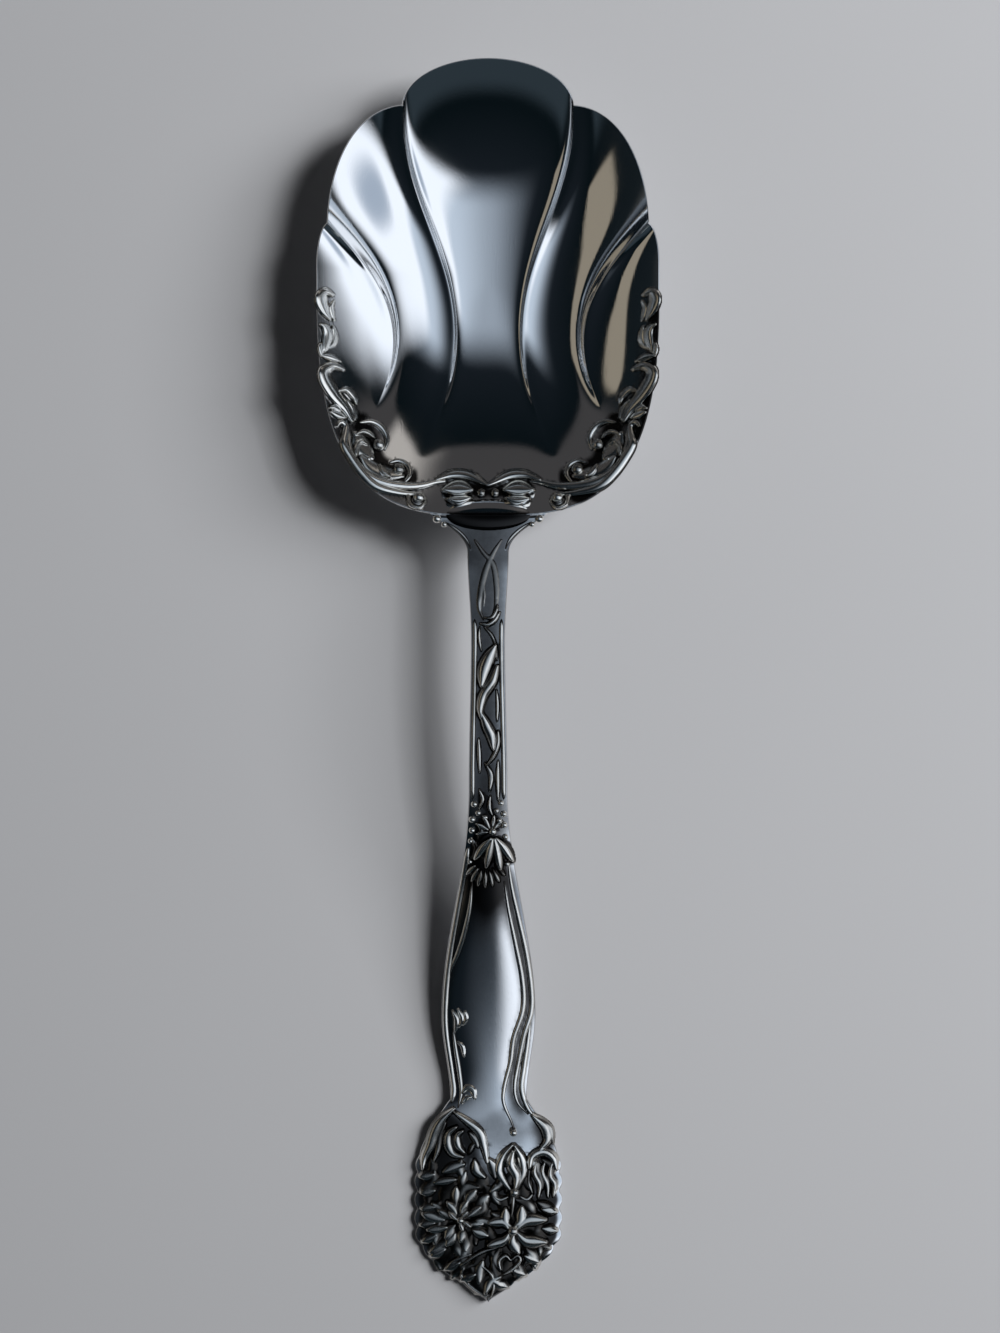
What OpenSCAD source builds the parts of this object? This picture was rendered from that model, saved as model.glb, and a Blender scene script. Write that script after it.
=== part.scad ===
// Berry spoon: a fluted serving bowl on an arched handle, with scroll and flower ornament.
// Millimetres. +Y runs from the handle's tip to the bowl's front lip, +X is to the right with
// the bowl away from the viewer, and +Z is up. The spoon lies on the plane z = 0, and the
// origin is on that plane, under the middle of its length.

/* [Overall] */
// Length from the handle's tip to the bowl's front lip
overall_length = 226.6; // [212:0.2:240]

/* [Bowl] */
// Length of the bowl from its front lip to the heel seam
bowl_length = 81.9; // [76:0.1:88]
// Distance from the front lip back to the bowl's widest line
bowl_front_reach = 37.1; // [33:0.1:40]
// Width of the bowl across its widest line
bowl_width = 61.2; // [56:0.1:66]
// Depth of the bowl from its rim to its floor
bowl_depth = 14.4; // [12:0.2:17]
// Thickness of the bowl's sheet
bowl_wall = 1.4; // [1:0.1:1.8]
// Height of the flute crests at the front rim
flute_height = 2; // [1.4:0.1:2.8]
// Depth of the flat worn under the bowl, on which it stands
rest_flat_depth = 0.3; // [0.2:0.05:0.4]

/* [Handle] */
// Height of the top of the arch above the table
arch_height = 17; // [16:0.5:22]
// Distance from the heel seam back to the top of the arch
arch_reach = 22; // [18:1:28]
// Width of the shoulder at the heel seam
shoulder_width = 21.6; // [18:0.2:24]
// Length over which the shoulder narrows to the neck
shoulder_length = 7; // [5:0.5:9]
// Thickness of the shoulder at the heel seam
shoulder_thickness = 2.6; // [2:0.1:3.4]
// Width of the neck below the shoulder
neck_width = 7; // [6.2:0.1:8]
// Width of the stem where it is slimmest
stem_width = 5.7; // [5:0.1:6.4]
// Width of the stem's foot, where the panel begins
stem_foot_width = 6.6; // [5.8:0.1:7.4]
// Thickness of the stem at the top of the arch
stem_thickness = 4; // [3:0.1:5]
// Length of the panel from the end of the stem to its waist
panel_length = 58; // [50:1:64]
// Distance from the panel's widest line down to its waist
panel_belly_rise = 15.5; // [12:0.5:20]
// Width of the panel at its widest line
panel_width = 17; // [15:0.2:20]
// Thickness of the panel
panel_thickness = 2.8; // [2.2:0.1:3.4]
// Height of the panel's crown over its edges
panel_crown = 1.8; // [1:0.1:2.4]
// Height of the terminal's dome over its edges
terminal_crown = 1.2; // [0.8:0.1:1.4]
// Width of the waist between the panel and the terminal
waist_width = 13.8; // [12:0.2:15]
// Length of the terminal from its waist to the tip
terminal_length = 37.5; // [34:0.5:42]
// Length at the tip over which the handle lies level on the table
tip_level_length = 14; // [8:1:20]
// Length of the terminal's pointed end
terminal_point_length = 13.5; // [11:0.5:16]
// Width of the terminal across its flowers
terminal_width = 26.6; // [24:0.2:30]
// Thickness of the terminal
terminal_thickness = 2.6; // [2:0.1:3.2]
// Depth of the scallops round the terminal's leafy edge
edge_scallop = 0.6; // [0.3:0.1:0.9]
// Length of the tongue that laps under the bowl's heel
drop_length = 15; // [11:0.5:19]
// Width of the tongue at the heel seam
drop_width = 12; // [9:0.5:15]

/* [Ornament] */
// Height of the scrolls and flowers above their ground
relief_height = 1; // [0.6:0.1:1.3]
// Width of the moulded rail round the bowl's lower corners
border_rail_width = 2; // [1.4:0.1:2.6]
// Width of the raised rails along the stem's edges
stem_rail_width = 0.8; // [0.6:0.1:1]
// Width of each stalk that twines on the stem
tendril_width = 1.1; // [0.8:0.1:1.4]
// Width of each stalk that runs beside the panel
panel_stalk_width = 1.1; // [0.8:0.1:1.4]
// Clearance between a piece of relief and the metal that carries it
seat_gap = 0.05; // [0.03:0.01:0.1]

/* [Hidden] */

silver = [0.80, 0.80, 0.82];
relief_silver = [0.66, 0.65, 0.64];

// Places along the spoon
front_y = overall_length / 2;
tip_y = -overall_length / 2;
heel_y = front_y - bowl_length;
wide_y = front_y - bowl_front_reach;
heel_reach = bowl_length - bowl_front_reach;
half_bowl = bowl_width / 2;
neck_y = heel_y - shoulder_length;
arch_y = heel_y - arch_reach;
waist_y = tip_y + terminal_length;
belly_y = waist_y + panel_belly_rise;
panel_top_y = waist_y + panel_length;
point_y = tip_y + terminal_point_length;
level_y = tip_y + tip_level_length;
rim_top = bowl_wall - rest_flat_depth + bowl_depth;

// Forms of the bowl: powers of its outlines and of its wall
front_power = 2.2;
heel_power = 3.1;
wall_power = 2.1;

// Flutes, in shares of the bowl's half width and of its reach forward (+) or back (-)
inner_notch = [0.50, 0.778];
outer_notch = [0.938, 0.20];
inner_crest_pull = [[0.545, 0.162], [-0.214, -0.021]];
outer_crest_pull = [[0.583, -0.054], [0.374, -0.282]];
inner_crest_end = 68.8;
outer_crest_end = 53.1;
side_end = 12;
inner_fade = 0.93;
outer_fade = 0.85;
// Powers of the hollows of the middle flute and of the narrower side flutes, at the front rim and
// further in, which set how sharp their crests are, and the share over which they change
middle_powers = [12, 5.5];
side_powers = [4.2, 3.4];
power_change = 0.4;
// The band under the scroll border: the share of the way to the rim where the flutes end, the
// share over which they fade, and the distance behind the widest line over which it begins
band_end = 0.93;
band_fade = 0.2;
band_start = 8;

// Forms of the handle: powers of its rise to the arch and of the shoulder's flare, and the share
// of the terminal's sides over which it widens
rise_power = 1.25;
flare_power = 2.2;
terminal_swell = 0.6;
// The crown: the panel's share of it that the stem keeps, and the lengths over which it grows
// below the stem and changes to the terminal's dome at the waist
crown_left = 0.12;
crown_grow = 20;
crown_fade = 12;
// Share of the handle's thickness that is left at its edges
edge_share = 0.7;
// Scallops round the terminal: their pitch, the level they swing about, and where they begin
scallop_pitch = 3.4;
scallop_level = 0.6;
scallop_start = 9;

// Numbers of facets
bowl_rows = 17;
lobe_columns = [7, 8, 4];

// Sections of a relief strip: [place across its width, share of its height]
rail_section = [[-1, 0.2], [-0.5, 1], [0.5, 1], [1, 0.2]];
leaf_section = [[-1, 0.25], [0, 1], [1, 0.25]];
petal_section = [[-1, 0.5], [-0.6, 1], [0, 0.45], [0.6, 1], [1, 0.5]];
dome_section = [[-1, 0.15], [-0.6, 0.8], [0, 1], [0.6, 0.8], [1, 0.15]];
least_half_width = 0.1;
least_height = 0.12;

// Plain helpers
function mix(a, b, t) = a + (b - a) * t;
function clamp01(t) = max(0, min(1, t));
function ease(t) = let (c = clamp01(t)) c * c * (3 - 2 * c);
function unit2(v) = v / norm(v);
function flip_x(p) = [-p[0], p[1]];
function bezier(p, t) =
    let (s = 1 - t)
    s * s * s * p[0] + 3 * s * s * t * p[1] + 3 * s * t * t * p[2] + t * t * t * p[3];
function curve(p) = function (t) bezier(p, t);
function volute(centre, r0, r1, a0, a1) =
    function (t) centre + mix(r0, r1, t) * [cos(mix(a0, a1, t)), sin(mix(a0, a1, t))];

// Height of the bowl's smooth inner form over a point in plan, and of the metal's underside
function super_radius(a, b, power) = pow(pow(abs(a), power) + pow(abs(b), power), 1 / power);
function bowl_share(x, y) =
    let (dy = y - wide_y)
    dy > 0
        ? super_radius(x / half_bowl, dy / bowl_front_reach, front_power)
        : super_radius(x / half_bowl, dy / heel_reach, heel_power);
function bowl_inside(x, y) =
    bowl_wall - rest_flat_depth + bowl_depth * pow(bowl_share(x, y), wall_power);
function bowl_underside(x, y) = max(0, bowl_inside(x, y) - bowl_wall);

// Plan of the bowl: a point given in shares, and a point near the heel's rim
function bowl_point(share) =
    [share[0] * half_bowl,
     wide_y + share[1] * (share[1] > 0 ? bowl_front_reach : heel_reach)];
function rim_radius(angle) =
    1 / super_radius(cos(angle) / half_bowl, sin(angle) / heel_reach, heel_power);
function rim_at(angle, inset) =
    [0, wide_y] + (rim_radius(angle) - inset) * [cos(angle), -sin(angle)];
function heel_rim_y(x) =
    wide_y - heel_reach * pow(1 - pow(abs(x) / half_bowl, heel_power), 1 / heel_power);

// Each lobe of the front rim is a quarter of an ellipse between two notches
function lobe(from, to, s) = [mix(from[0], to[0], sin(90 * s)), mix(to[1], from[1], cos(90 * s))];
function middle_lobe(s) =
    let (a = 180 * s - 90, notch = bowl_point(inner_notch))
    [notch[0] * sin(a), mix(notch[1], front_y, cos(a))];

// Crest lines of the flutes in plan, from the front rim (u = 0) to the heel's rim (u = 1)
function crest(notch, pull, end_angle, u) =
    bezier([bowl_point(notch), bowl_point(pull[0]), bowl_point(pull[1]), rim_at(end_angle, 0)], u);
function inner_crest(u) = crest(inner_notch, inner_crest_pull, inner_crest_end, u);
function outer_crest(u) = crest(outer_notch, outer_crest_pull, outer_crest_end, u);
function side_rim(u) = rim_at(side_end * u, 0);

// A lobe's patch is blended between its two crest lines, its front rim and its heel rim.
// Lobe 0 is the middle one, and lobes 1 and 2 lie to its right.
function patch_left(k, u) = k == 0 ? flip_x(inner_crest(u)) : k == 1 ? inner_crest(u) : outer_crest(u);
function patch_right(k, u) = k == 0 ? inner_crest(u) : k == 1 ? outer_crest(u) : side_rim(u);
function patch_front(k, s) =
    k == 0 ? middle_lobe(s)
    : k == 1 ? lobe(bowl_point(inner_notch), bowl_point(outer_notch), s)
    : lobe(bowl_point(outer_notch), [half_bowl, wide_y], s);
function patch_heel(k, s) =
    k == 0 ? rim_at(mix(180 - inner_crest_end, inner_crest_end, s), 0)
    : k == 1 ? rim_at(mix(inner_crest_end, outer_crest_end, s), 0)
    : rim_at(mix(outer_crest_end, side_end, s), 0);
function patch_plan(k, u, s) =
    mix(patch_left(k, u), patch_right(k, u), s)
    + (1 - u) * (patch_front(k, s) - mix(patch_left(k, 0), patch_right(k, 0), s))
    + u * (patch_heel(k, s) - mix(patch_left(k, 1), patch_right(k, 1), s));

// A flute is a hollow channel between two crests. The crests fade out before the heel, and
// the band under the scroll border is left smooth.
function border_band(p) =
    mix(1, ease((band_end - bowl_share(p[0], p[1])) / band_fade), ease((wide_y - p[1]) / band_start));
function crest_height(fade, u) = flute_height * (1 - pow(min(1, u / fade), 3));
function hollow_power(powers, u) = mix(powers[0], powers[1], ease(u / power_change));
function flute(k, u, s) =
    let (near = crest_height(k == 2 ? outer_fade : inner_fade, u),
         far = k == 2 ? 0 : crest_height(k == 1 ? outer_fade : inner_fade, u))
    k == 2 ? near * pow(1 - s, hollow_power(side_powers, u))
    : s < 0.5 ? near * pow(1 - 2 * s, hollow_power(k == 0 ? middle_powers : side_powers, u))
    : far * pow(2 * s - 1, hollow_power(k == 0 ? middle_powers : side_powers, u));

// Width of the handle's plan outline
function scallop(y) =
    edge_scallop * ease((waist_y - scallop_start - y) / scallop_pitch) * ease((y - tip_y) / scallop_pitch)
    * (abs(sin(180 * (y - tip_y) / scallop_pitch)) - scallop_level);
function half_width(y) =
    y > neck_y ? mix(neck_width, shoulder_width, pow(clamp01((y - neck_y) / shoulder_length), flare_power)) / 2
    : y > arch_y ? mix(stem_width, neck_width, ease((y - arch_y) / (neck_y - arch_y))) / 2
    : y > panel_top_y
        ? mix(stem_foot_width, stem_width, ease((y - panel_top_y) / (arch_y - panel_top_y))) / 2
    : y > belly_y
        ? mix(panel_width, stem_foot_width, ease((y - belly_y) / (panel_top_y - belly_y))) / 2
    : y > waist_y ? mix(waist_width, panel_width, ease((y - waist_y) / panel_belly_rise)) / 2
    : y > point_y
        ? mix(waist_width, terminal_width,
              sin(90 * min(1, (waist_y - y) / (terminal_swell * (waist_y - point_y))))) / 2 + scallop(y)
    : terminal_width / 2 * sin(90 * clamp01((y - tip_y) / terminal_point_length)) + scallop(y);

// Side profile of the handle: the line of its top, its thickness and its crown
function spine(y) =
    y > arch_y
        ? mix(arch_height, rim_top, ease((y - arch_y) / arch_reach))
        : mix(terminal_thickness, arch_height,
              pow(ease((y - level_y) / (arch_y - level_y)), rise_power));
function thickness(y) =
    y > arch_y ? mix(stem_thickness, shoulder_thickness, ease((y - arch_y) / arch_reach))
    : y > belly_y ? mix(panel_thickness, stem_thickness, ease((y - belly_y) / (arch_y - belly_y)))
    : mix(terminal_thickness, panel_thickness, ease((y - waist_y) / panel_belly_rise));
function crown(y) =
    panel_crown * mix(crown_left, 1, ease((panel_top_y - y) / crown_grow) * ease((y - waist_y) / crown_fade + 0.5))
    + (terminal_crown - crown_left * panel_crown) * ease((waist_y - y) / crown_fade);
function handle_top(x, y) =
    spine(y) - crown(y) * pow(min(1, abs(x) / max(half_width(y), least_half_width)), 2);

// One closed solid from a grid of points above and the grid below it, in facing order
module closed_shell(top, bottom) {
    rows = len(top);
    columns = len(top[0]);
    under = rows * columns;
    border = concat(
        [for (j = [0 : columns - 2]) j],
        [for (i = [0 : rows - 2]) i * columns + columns - 1],
        [for (j = [columns - 1 : -1 : 1]) (rows - 1) * columns + j],
        [for (i = [rows - 1 : -1 : 1]) i * columns]
    );
    faces = concat(
        [for (i = [0 : rows - 2], j = [0 : columns - 2])
            let (a = i * columns + j, b = a + 1, c = a + columns, d = c + 1)
            each [[a, b, d], [a, d, c], [under + a, under + d, under + b], [under + a, under + c, under + d]]],
        [for (i = [0 : len(border) - 1])
            let (a = border[i], b = border[(i + 1) % len(border)])
            each [[a, under + a, under + b], [a, under + b, b]]]
    );
    polyhedron([each each top, each each bottom], faces);
}

// A strip of relief along a path in plan, seated on the ground that it follows
module relief(path, half, high, ground, rings, section) {
    nudge = 0.001;
    rows = [for (i = [0 : rings - 1])
        let (t = i / (rings - 1), along = unit2(path(t + nudge) - path(t - nudge)))
        [for (c = section)
            let (p = path(t) + c[0] * max(half(t), least_half_width) * [-along[1], along[0]],
                 base = ground(p[0], p[1]) + seat_gap)
            [[p[0], p[1], base + max(c[1] * high(t), least_height)], [p[0], p[1], base]]]];
    closed_shell([for (row = rows) [for (q = row) q[0]]], [for (row = rows) [for (q = row) q[1]]]);
}

// A strip that swells in the middle and tapers to both ends
module leaf(points, width, height, ground, rings = 8, section = leaf_section) {
    relief(curve(points),
           function (t) width / 2 * pow(sin(180 * mix(0.04, 0.96, t)), 0.7),
           function (t) height * mix(0.45, 1, sin(180 * t)),
           ground, rings, section);
}

// A straight petal that starts at a flower's heart
module petal(heart, angle, from, to, width, height, ground, rings = 5, section = petal_section) {
    way = [cos(angle), sin(angle)];
    relief(function (t) heart + mix(from, to, t) * way,
           function (t) width / 2 * pow(sin(180 * mix(0.12, 0.97, t)), 0.6),
           function (t) height * mix(1, 0.55, t),
           ground, rings, section);
}

// A round bead with a flat seat that leans with its ground
module bead(centre, radius, height, ground) {
    sides = 8;
    crown_share = 0.6;
    seat = ground(centre[0], centre[1]) + seat_gap;
    lean = [ground(centre[0] + radius, centre[1]) - ground(centre[0] - radius, centre[1]),
            ground(centre[0], centre[1] + radius) - ground(centre[0], centre[1] - radius)] / 2;
    ring = [for (i = [0 : sides - 1]) [cos(360 * i / sides), sin(360 * i / sides)]];
    points = [for (level = [[1, 0], [crown_share, height]], r = ring)
        [centre[0] + radius * level[0] * r[0], centre[1] + radius * level[0] * r[1],
         seat + level[0] * (lean * r) + level[1]]];
    faces = concat(
        [[for (i = [0 : sides - 1]) i], [for (i = [sides - 1 : -1 : 0]) sides + i]],
        [for (i = [0 : sides - 1]) [i, sides + i, sides + (i + 1) % sides, (i + 1) % sides]]
    );
    polyhedron(points, faces);
}

// Places on the handle's ornament: a share of the half width there, and a share of the length
// of the stem (from the heel seam), the panel (from the stem) or the terminal (from the tip)
function stem_at(share, down) =
    [share * (stem_width / 2 - stem_rail_width), mix(heel_y, panel_top_y, down)];
function panel_at(share, down) =
    let (y = mix(panel_top_y, waist_y, down)) [share * half_width(y), y];
function terminal_at(share, rise) = [share * terminal_width / 2, mix(tip_y, waist_y, rise)];
function terminal_path(p) = [for (q = p) terminal_at(q[0], q[1])];

module bowl() {
    right = concat(
        [for (i = [0 : lobe_columns[0]]) [0, 0.5 + 0.5 * sin(90 * i / lobe_columns[0]), 1]],
        [for (k = [1, 2], i = [1 : lobe_columns[k]]) [k, (1 - cos(180 * i / lobe_columns[k])) / 2, 1]]
    );
    left = [for (i = [len(right) - 1 : -1 : 1]) [right[i][0], right[i][1], -1]];
    columns = concat(left, right);
    inside = [for (i = [0 : bowl_rows]) [for (c = columns)
        let (u = (1 - cos(180 * i / bowl_rows)) / 2, p = patch_plan(c[0], u, c[1]))
        [c[2] * p[0], p[1], bowl_inside(p[0], p[1]) + border_band(p) * flute(c[0], u, c[1])]]];
    outside = [for (row = inside) [for (p = row) [p[0], p[1], max(0, p[2] - bowl_wall)]]];
    color(silver) closed_shell(inside, outside);
}

module handle() {
    across = [for (j = [0 : 6]) sin(mix(-90, 90, j / 6))];
    step = 0.02;
    stations = concat(
        [for (i = [1 : 22]) mix(tip_y, waist_y, i / 22)],
        [for (i = [1 : 12]) mix(waist_y, panel_top_y, i / 12)],
        [for (i = [1 : 14]) mix(panel_top_y, neck_y, i / 14)],
        [for (i = [1 : 5]) mix(neck_y, heel_y - 1, i / 5)]
    );
    struck = [for (y = stations) [for (a = across)
        let (w = half_width(y), top = handle_top(a * w, y))
        [a * w, y, top, max(0, top - thickness(y) * mix(1, edge_share, pow(a, 4)))]]];
    seam = [for (a = across)
        let (x = a * shoulder_width / 2)
        [x, heel_rim_y(x) - seat_gap, handle_top(x, heel_y),
         rim_top - shoulder_thickness * mix(1, edge_share, pow(a, 4))]];
    tip = [for (a = across)
        let (w = half_width(mix(tip_y, waist_y, 1 / 22)) / 3)
        [a * w, tip_y, spine(tip_y) - 0.2 * terminal_thickness * a * a, 0]];
    tongue = [for (t = [0 : 0.2 : 1]) [for (a = across)
        let (w = drop_width / 2 * mix(1, 0.12, t * t),
             y = heel_rim_y(a * w) + step - seat_gap + t * drop_length,
             top = bowl_underside(a * w, max(y, heel_rim_y(a * w))) - seat_gap,
             deep = (shoulder_thickness - bowl_wall) * mix(1, 0.35, t))
        [a * w, y, top, max(0.3, top - deep * mix(1, 0.4, a * a))]]];
    sections = concat([tip], struck, [seam], tongue);
    color(silver) closed_shell(
        [for (s = sections) [for (p = s) [-p[0], p[1], p[2]]]],
        [for (s = sections) [for (p = s) [-p[0], p[1], p[3]]]]
    );
}

// Scroll border on the right half of the heel's rim, with its places in rail widths
module border_side() {
    ground = function (x, y) bowl_inside(x, y);
    rail = border_rail_width;
    at = function (angle, inset) rim_at(angle, inset * rail);
    // Running leaves along the straight side
    for (i = [0 : 4]) {
        a = 9 + 7 * i;
        leaf([at(a, 1.25), at(a + 0.5, 0.35), at(a + 4, 0.3), at(a + 7, 1.15)],
             0.85 * rail, relief_height, ground, 7);
        leaf([at(a + 2.6, 1.25), at(a + 4, 2.1), at(a + 6.5, 2.2), at(a + 8, 1.6)],
             0.6 * rail, 0.8 * relief_height, ground, 5);
    }
    // Moulded rail round the corner
    relief(function (t) at(mix(44, 77, t), 0.6),
           function (t) rail / 2 * pow(sin(180 * mix(0.06, 0.94, t)), 0.4),
           function (t) 1.1 * relief_height, ground, 14, rail_section);
    // Volutes inside the corner, each with a bead at its eye
    relief(volute(at(55, 2.95), 1.3 * rail, 0.75 * rail, -75, 200), function (t) rail * mix(0.36, 0.26, t),
           function (t) relief_height, ground, 10, rail_section);
    bead(at(55, 2.95), 0.4 * rail, 1.1 * relief_height, ground);
    relief(volute(at(66, 2.6), rail, 0.6 * rail, -120, 150), function (t) rail * mix(0.3, 0.22, t),
           function (t) relief_height, ground, 9, rail_section);
    bead(at(66, 2.6), 0.3 * rail, 1.1 * relief_height, ground);
    // Strand from the corner towards the heel's middle
    leaf([at(70, 1.45), at(73, 1.8), at(77, 2.9), at(80.5, 3)],
         0.75 * rail, relief_height, ground, 8, rail_section);
}

module border_left() { color(relief_silver) mirror([1, 0, 0]) border_side(); }
module border_right() { color(relief_silver) border_side(); }

// Pair of scrolls with beads along the middle of the heel's rim, with its places in rail widths
module heel_scrolls() {
    ground = function (x, y) bowl_inside(x, y);
    rail = border_rail_width;
    color(relief_silver) for (side = [-1, 1]) {
        at = function (angle, inset) let (p = rim_at(angle, inset * rail)) [side * p[0], p[1]];
        relief(function (t) at(mix(79.6, 88.2, t), 2.25 + 1.1 * sin(180 * mix(0.05, 0.95, t))),
               function (t) rail * mix(0.2, 0.38, sin(180 * t)),
               function (t) 1.1 * relief_height, ground, 8, rail_section);
        bead(at(83.2, 2), 0.62 * rail, 1.2 * relief_height, ground);
        bead(at(88.2, 1.85), 0.3 * rail, relief_height, ground);
        bead(at(74.5, 1.55), 0.4 * rail, relief_height, ground);
    }
}

// Plain domed bib at the root of the handle, which laps over the heel seam
module heel_bib() {
    ground = function (x, y) y > heel_rim_y(x) ? bowl_inside(x, y) : handle_top(x, y);
    half_long = 0.34 * shoulder_width;
    color(relief_silver)
        relief(function (t) [mix(-half_long, half_long, t), heel_y + 0.1 * border_rail_width * cos(360 * t)],
               function (t) 1.25 * border_rail_width * pow(sin(180 * mix(0.06, 0.94, t)), 0.5),
               function (t) 0.6 * relief_height * mix(0.5, 1, sin(180 * t)), ground, 9, dome_section);
}

// Raised edges of the stem, from the crossing of its stalks down to the panel
module stem_rails() {
    ground = function (x, y) handle_top(x, y);
    inset = 0.6 * stem_rail_width;
    top_y = stem_at(0, 0.38)[1];
    end_y = panel_at(0, 0.035)[1];
    color(relief_silver) for (side = [-1, 1])
        relief(function (t) let (y = mix(top_y, end_y, t)) [side * (half_width(y) - inset), y],
               function (t) stem_rail_width / 2,
               function (t) 0.55 * relief_height * mix(0.5, 1, ease(t / 0.1)),
               ground, 16, rail_section);
}

// Looped stalk and twisted ribbon leaves down the stem
module stem_tendrils() {
    ground = function (x, y) handle_top(x, y);
    strands = [
        [[[0.35, 0.163], [-0.5, 0.234], [-1.1, 0.325], [-0.3, 0.386]], 0.75],
        [[[0.75, 0.193], [0.75, 0.264], [0.85, 0.305], [0.55, 0.354]], 0.75],
        [[[-0.55, 0.413], [0.1, 0.419], [0.6, 0.398], [0.9, 0.370]], 0.8],
        [[[0.5, 0.459], [0.3, 0.508], [-0.4, 0.549], [-0.5, 0.598]], 1.15],
        [[[0.75, 0.545], [0.3, 0.614], [-0.6, 0.650], [-0.65, 0.711]], 1.15],
        [[[-0.45, 0.740], [-0.1, 0.783], [0.1, 0.813], [0.1, 0.854]], 1.05],
        [[[0.75, 0.764], [0.9, 0.823], [0.8, 0.854], [0.5, 0.882]], 0.7],
        [[[-0.65, 0.829], [-0.75, 0.874], [-0.7, 0.915], [-0.6, 0.955]], 0.7]
    ];
    color(relief_silver) for (s = strands)
        leaf([for (p = s[0]) stem_at(p[0], p[1])], s[1] * tendril_width, relief_height, ground, 7);
}

// Bell flower at the head of the panel, among small beads, with a second flower's fan below it
module stem_blossom() {
    ground = function (x, y) handle_top(x, y);
    size = stem_foot_width;
    bell = panel_at(0.2, 0.117);
    fan = panel_at(-0.2, 0.203);
    berries = [[-0.42, 0.034], [-0.78, 0.079], [-0.8, 0.126], [-0.45, 0.148], [-0.82, 0.176],
               [0.55, 0.052], [0.82, 0.086], [0.86, 0.128], [0.84, 0.172]];
    color(relief_silver) {
        for (i = [0 : 3])
            petal(bell, 240 + 20 * i, 0.17 * size, (0.76 - 0.06 * abs(i - 1.5)) * size, 0.18 * size,
                  1.1 * relief_height, ground);
        for (angle = [60, 125])
            petal(bell, angle, 0.14 * size, 0.52 * size, 0.18 * size, relief_height, ground, 4, leaf_section);
        bead(bell, 0.11 * size, 1.2 * relief_height, ground);
        for (i = [0 : 4])
            petal(fan, 226 + 22 * i, 0.36 * size, 0.73 * size, 0.15 * size, 0.8 * relief_height, ground, 4,
                  leaf_section);
        for (b = berries) bead(panel_at(b[0], b[1]), 0.064 * size, 0.7 * relief_height, ground);
    }
}

// Stalks that follow the panel's edges. On the right they cross inwards below the belly.
module panel_stalks() {
    ground = function (x, y) handle_top(x, y);
    wide = panel_stalk_width;
    first = 0.68 * wide;
    second = first + 1.25 * wide;
    third = second + 1.25 * wide;
    place = function (down) panel_at(0, down)[1];
    change = 0.14 * panel_length;
    // side, start and end as shares of the panel, insets at the start and the end, place of the change
    stalks = [
        [1, 0.19, 0.985, first, second, 0.82],
        [1, 0.275, 0.965, second, third, 0.82],
        [1, 0.835, 1.017, first, first, 0.87],
        [-1, 0.19, 1.017, first, first, 0.73],
        [-1, 0.275, 0.595, second, second, 0.73],
        [-1, 0.835, 1.017, second, second, 0.73]
    ];
    color(relief_silver) for (s = stalks)
        relief(function (t)
                   let (y = place(mix(s[1], s[2], t)),
                        inset = mix(s[3], s[4], ease((place(s[5]) + change / 2 - y) / change)))
                   [s[0] * (half_width(y) - inset), y],
               function (t) wide / 2 * mix(0.6, 1, sin(180 * t)),
               function (t) 0.7 * relief_height, ground,
               round(18 * (s[2] - s[1])) + 3, rail_section);
}

// Small leaf sprigs that break from the stalks onto the panel, with their places in stalk widths
module panel_sprigs() {
    ground = function (x, y) handle_top(x, y);
    wide = panel_stalk_width;
    color(relief_silver) for (down = [0.793, 0.903, 1.01]) {
        root = [-half_width(panel_at(0, down)[1]) + 3.5 * wide, panel_at(0, down)[1]];
        at = function (dx, dy) root + wide * [dx, dy];
        leaf([at(0, 1.8), at(0.65, 0.9), at(0.8, -0.55), at(0.1, -1.8)],
             0.9 * wide, 0.6 * relief_height, ground, 6);
        leaf([at(1.35, 1.45), at(1.8, 0.9), at(1.9, 0.2), at(1.35, -0.7)],
             0.72 * wide, 0.5 * relief_height, ground, 5);
    }
}

// Many-petalled flower on the left of the terminal
module terminal_aster() {
    ground = function (x, y) handle_top(x, y);
    heart = terminal_at(-0.40, 0.385);
    bloom = terminal_width / 2;
    color(relief_silver) {
        for (i = [0 : 10])
            petal(heart, 360 / 11 * i, 0.25 * bloom, 0.48 * bloom, 0.158 * bloom, 0.9 * relief_height, ground, 4);
        for (i = [0 : 6])
            petal(heart, 360 / 7 * (i + 0.5), 0.09 * bloom, 0.225 * bloom, 0.098 * bloom,
                  1.2 * relief_height, ground, 4, leaf_section);
        bead(heart, 0.06 * bloom, 1.3 * relief_height, ground);
    }
}

// Open lily on the right of the terminal: angle of each petal, and its length in half widths
module terminal_lily() {
    ground = function (x, y) handle_top(x, y);
    heart = terminal_at(0.42, 0.36);
    bloom = terminal_width / 2;
    petals = [[26, 0.526], [93, 0.368], [146, 0.293], [218, 0.346], [282, 0.421], [336, 0.511]];
    color(relief_silver) {
        for (p = petals)
            petal(heart, p[0], 0.128 * bloom, p[1] * bloom, 0.226 * bloom, 1.1 * relief_height, ground);
        bead(heart, 0.068 * bloom, 1.4 * relief_height, ground);
    }
}

// Upright bud between the lily and the panel
module terminal_bud() {
    ground = function (x, y) handle_top(x, y);
    ribs = [[[0.27, 0.575], [0.22, 0.62], [0.33, 0.67], [0.36, 0.735]],
            [[0.38, 0.575], [0.37, 0.62], [0.42, 0.69], [0.405, 0.75]],
            [[0.49, 0.575], [0.56, 0.62], [0.51, 0.68], [0.455, 0.735]]];
    color(relief_silver) {
        for (r = ribs) leaf(terminal_path(r), 1.5, relief_height, ground, 7);
        bead(terminal_at(0.38, 0.543), 0.75, 1.2 * relief_height, ground);
    }
}

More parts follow.
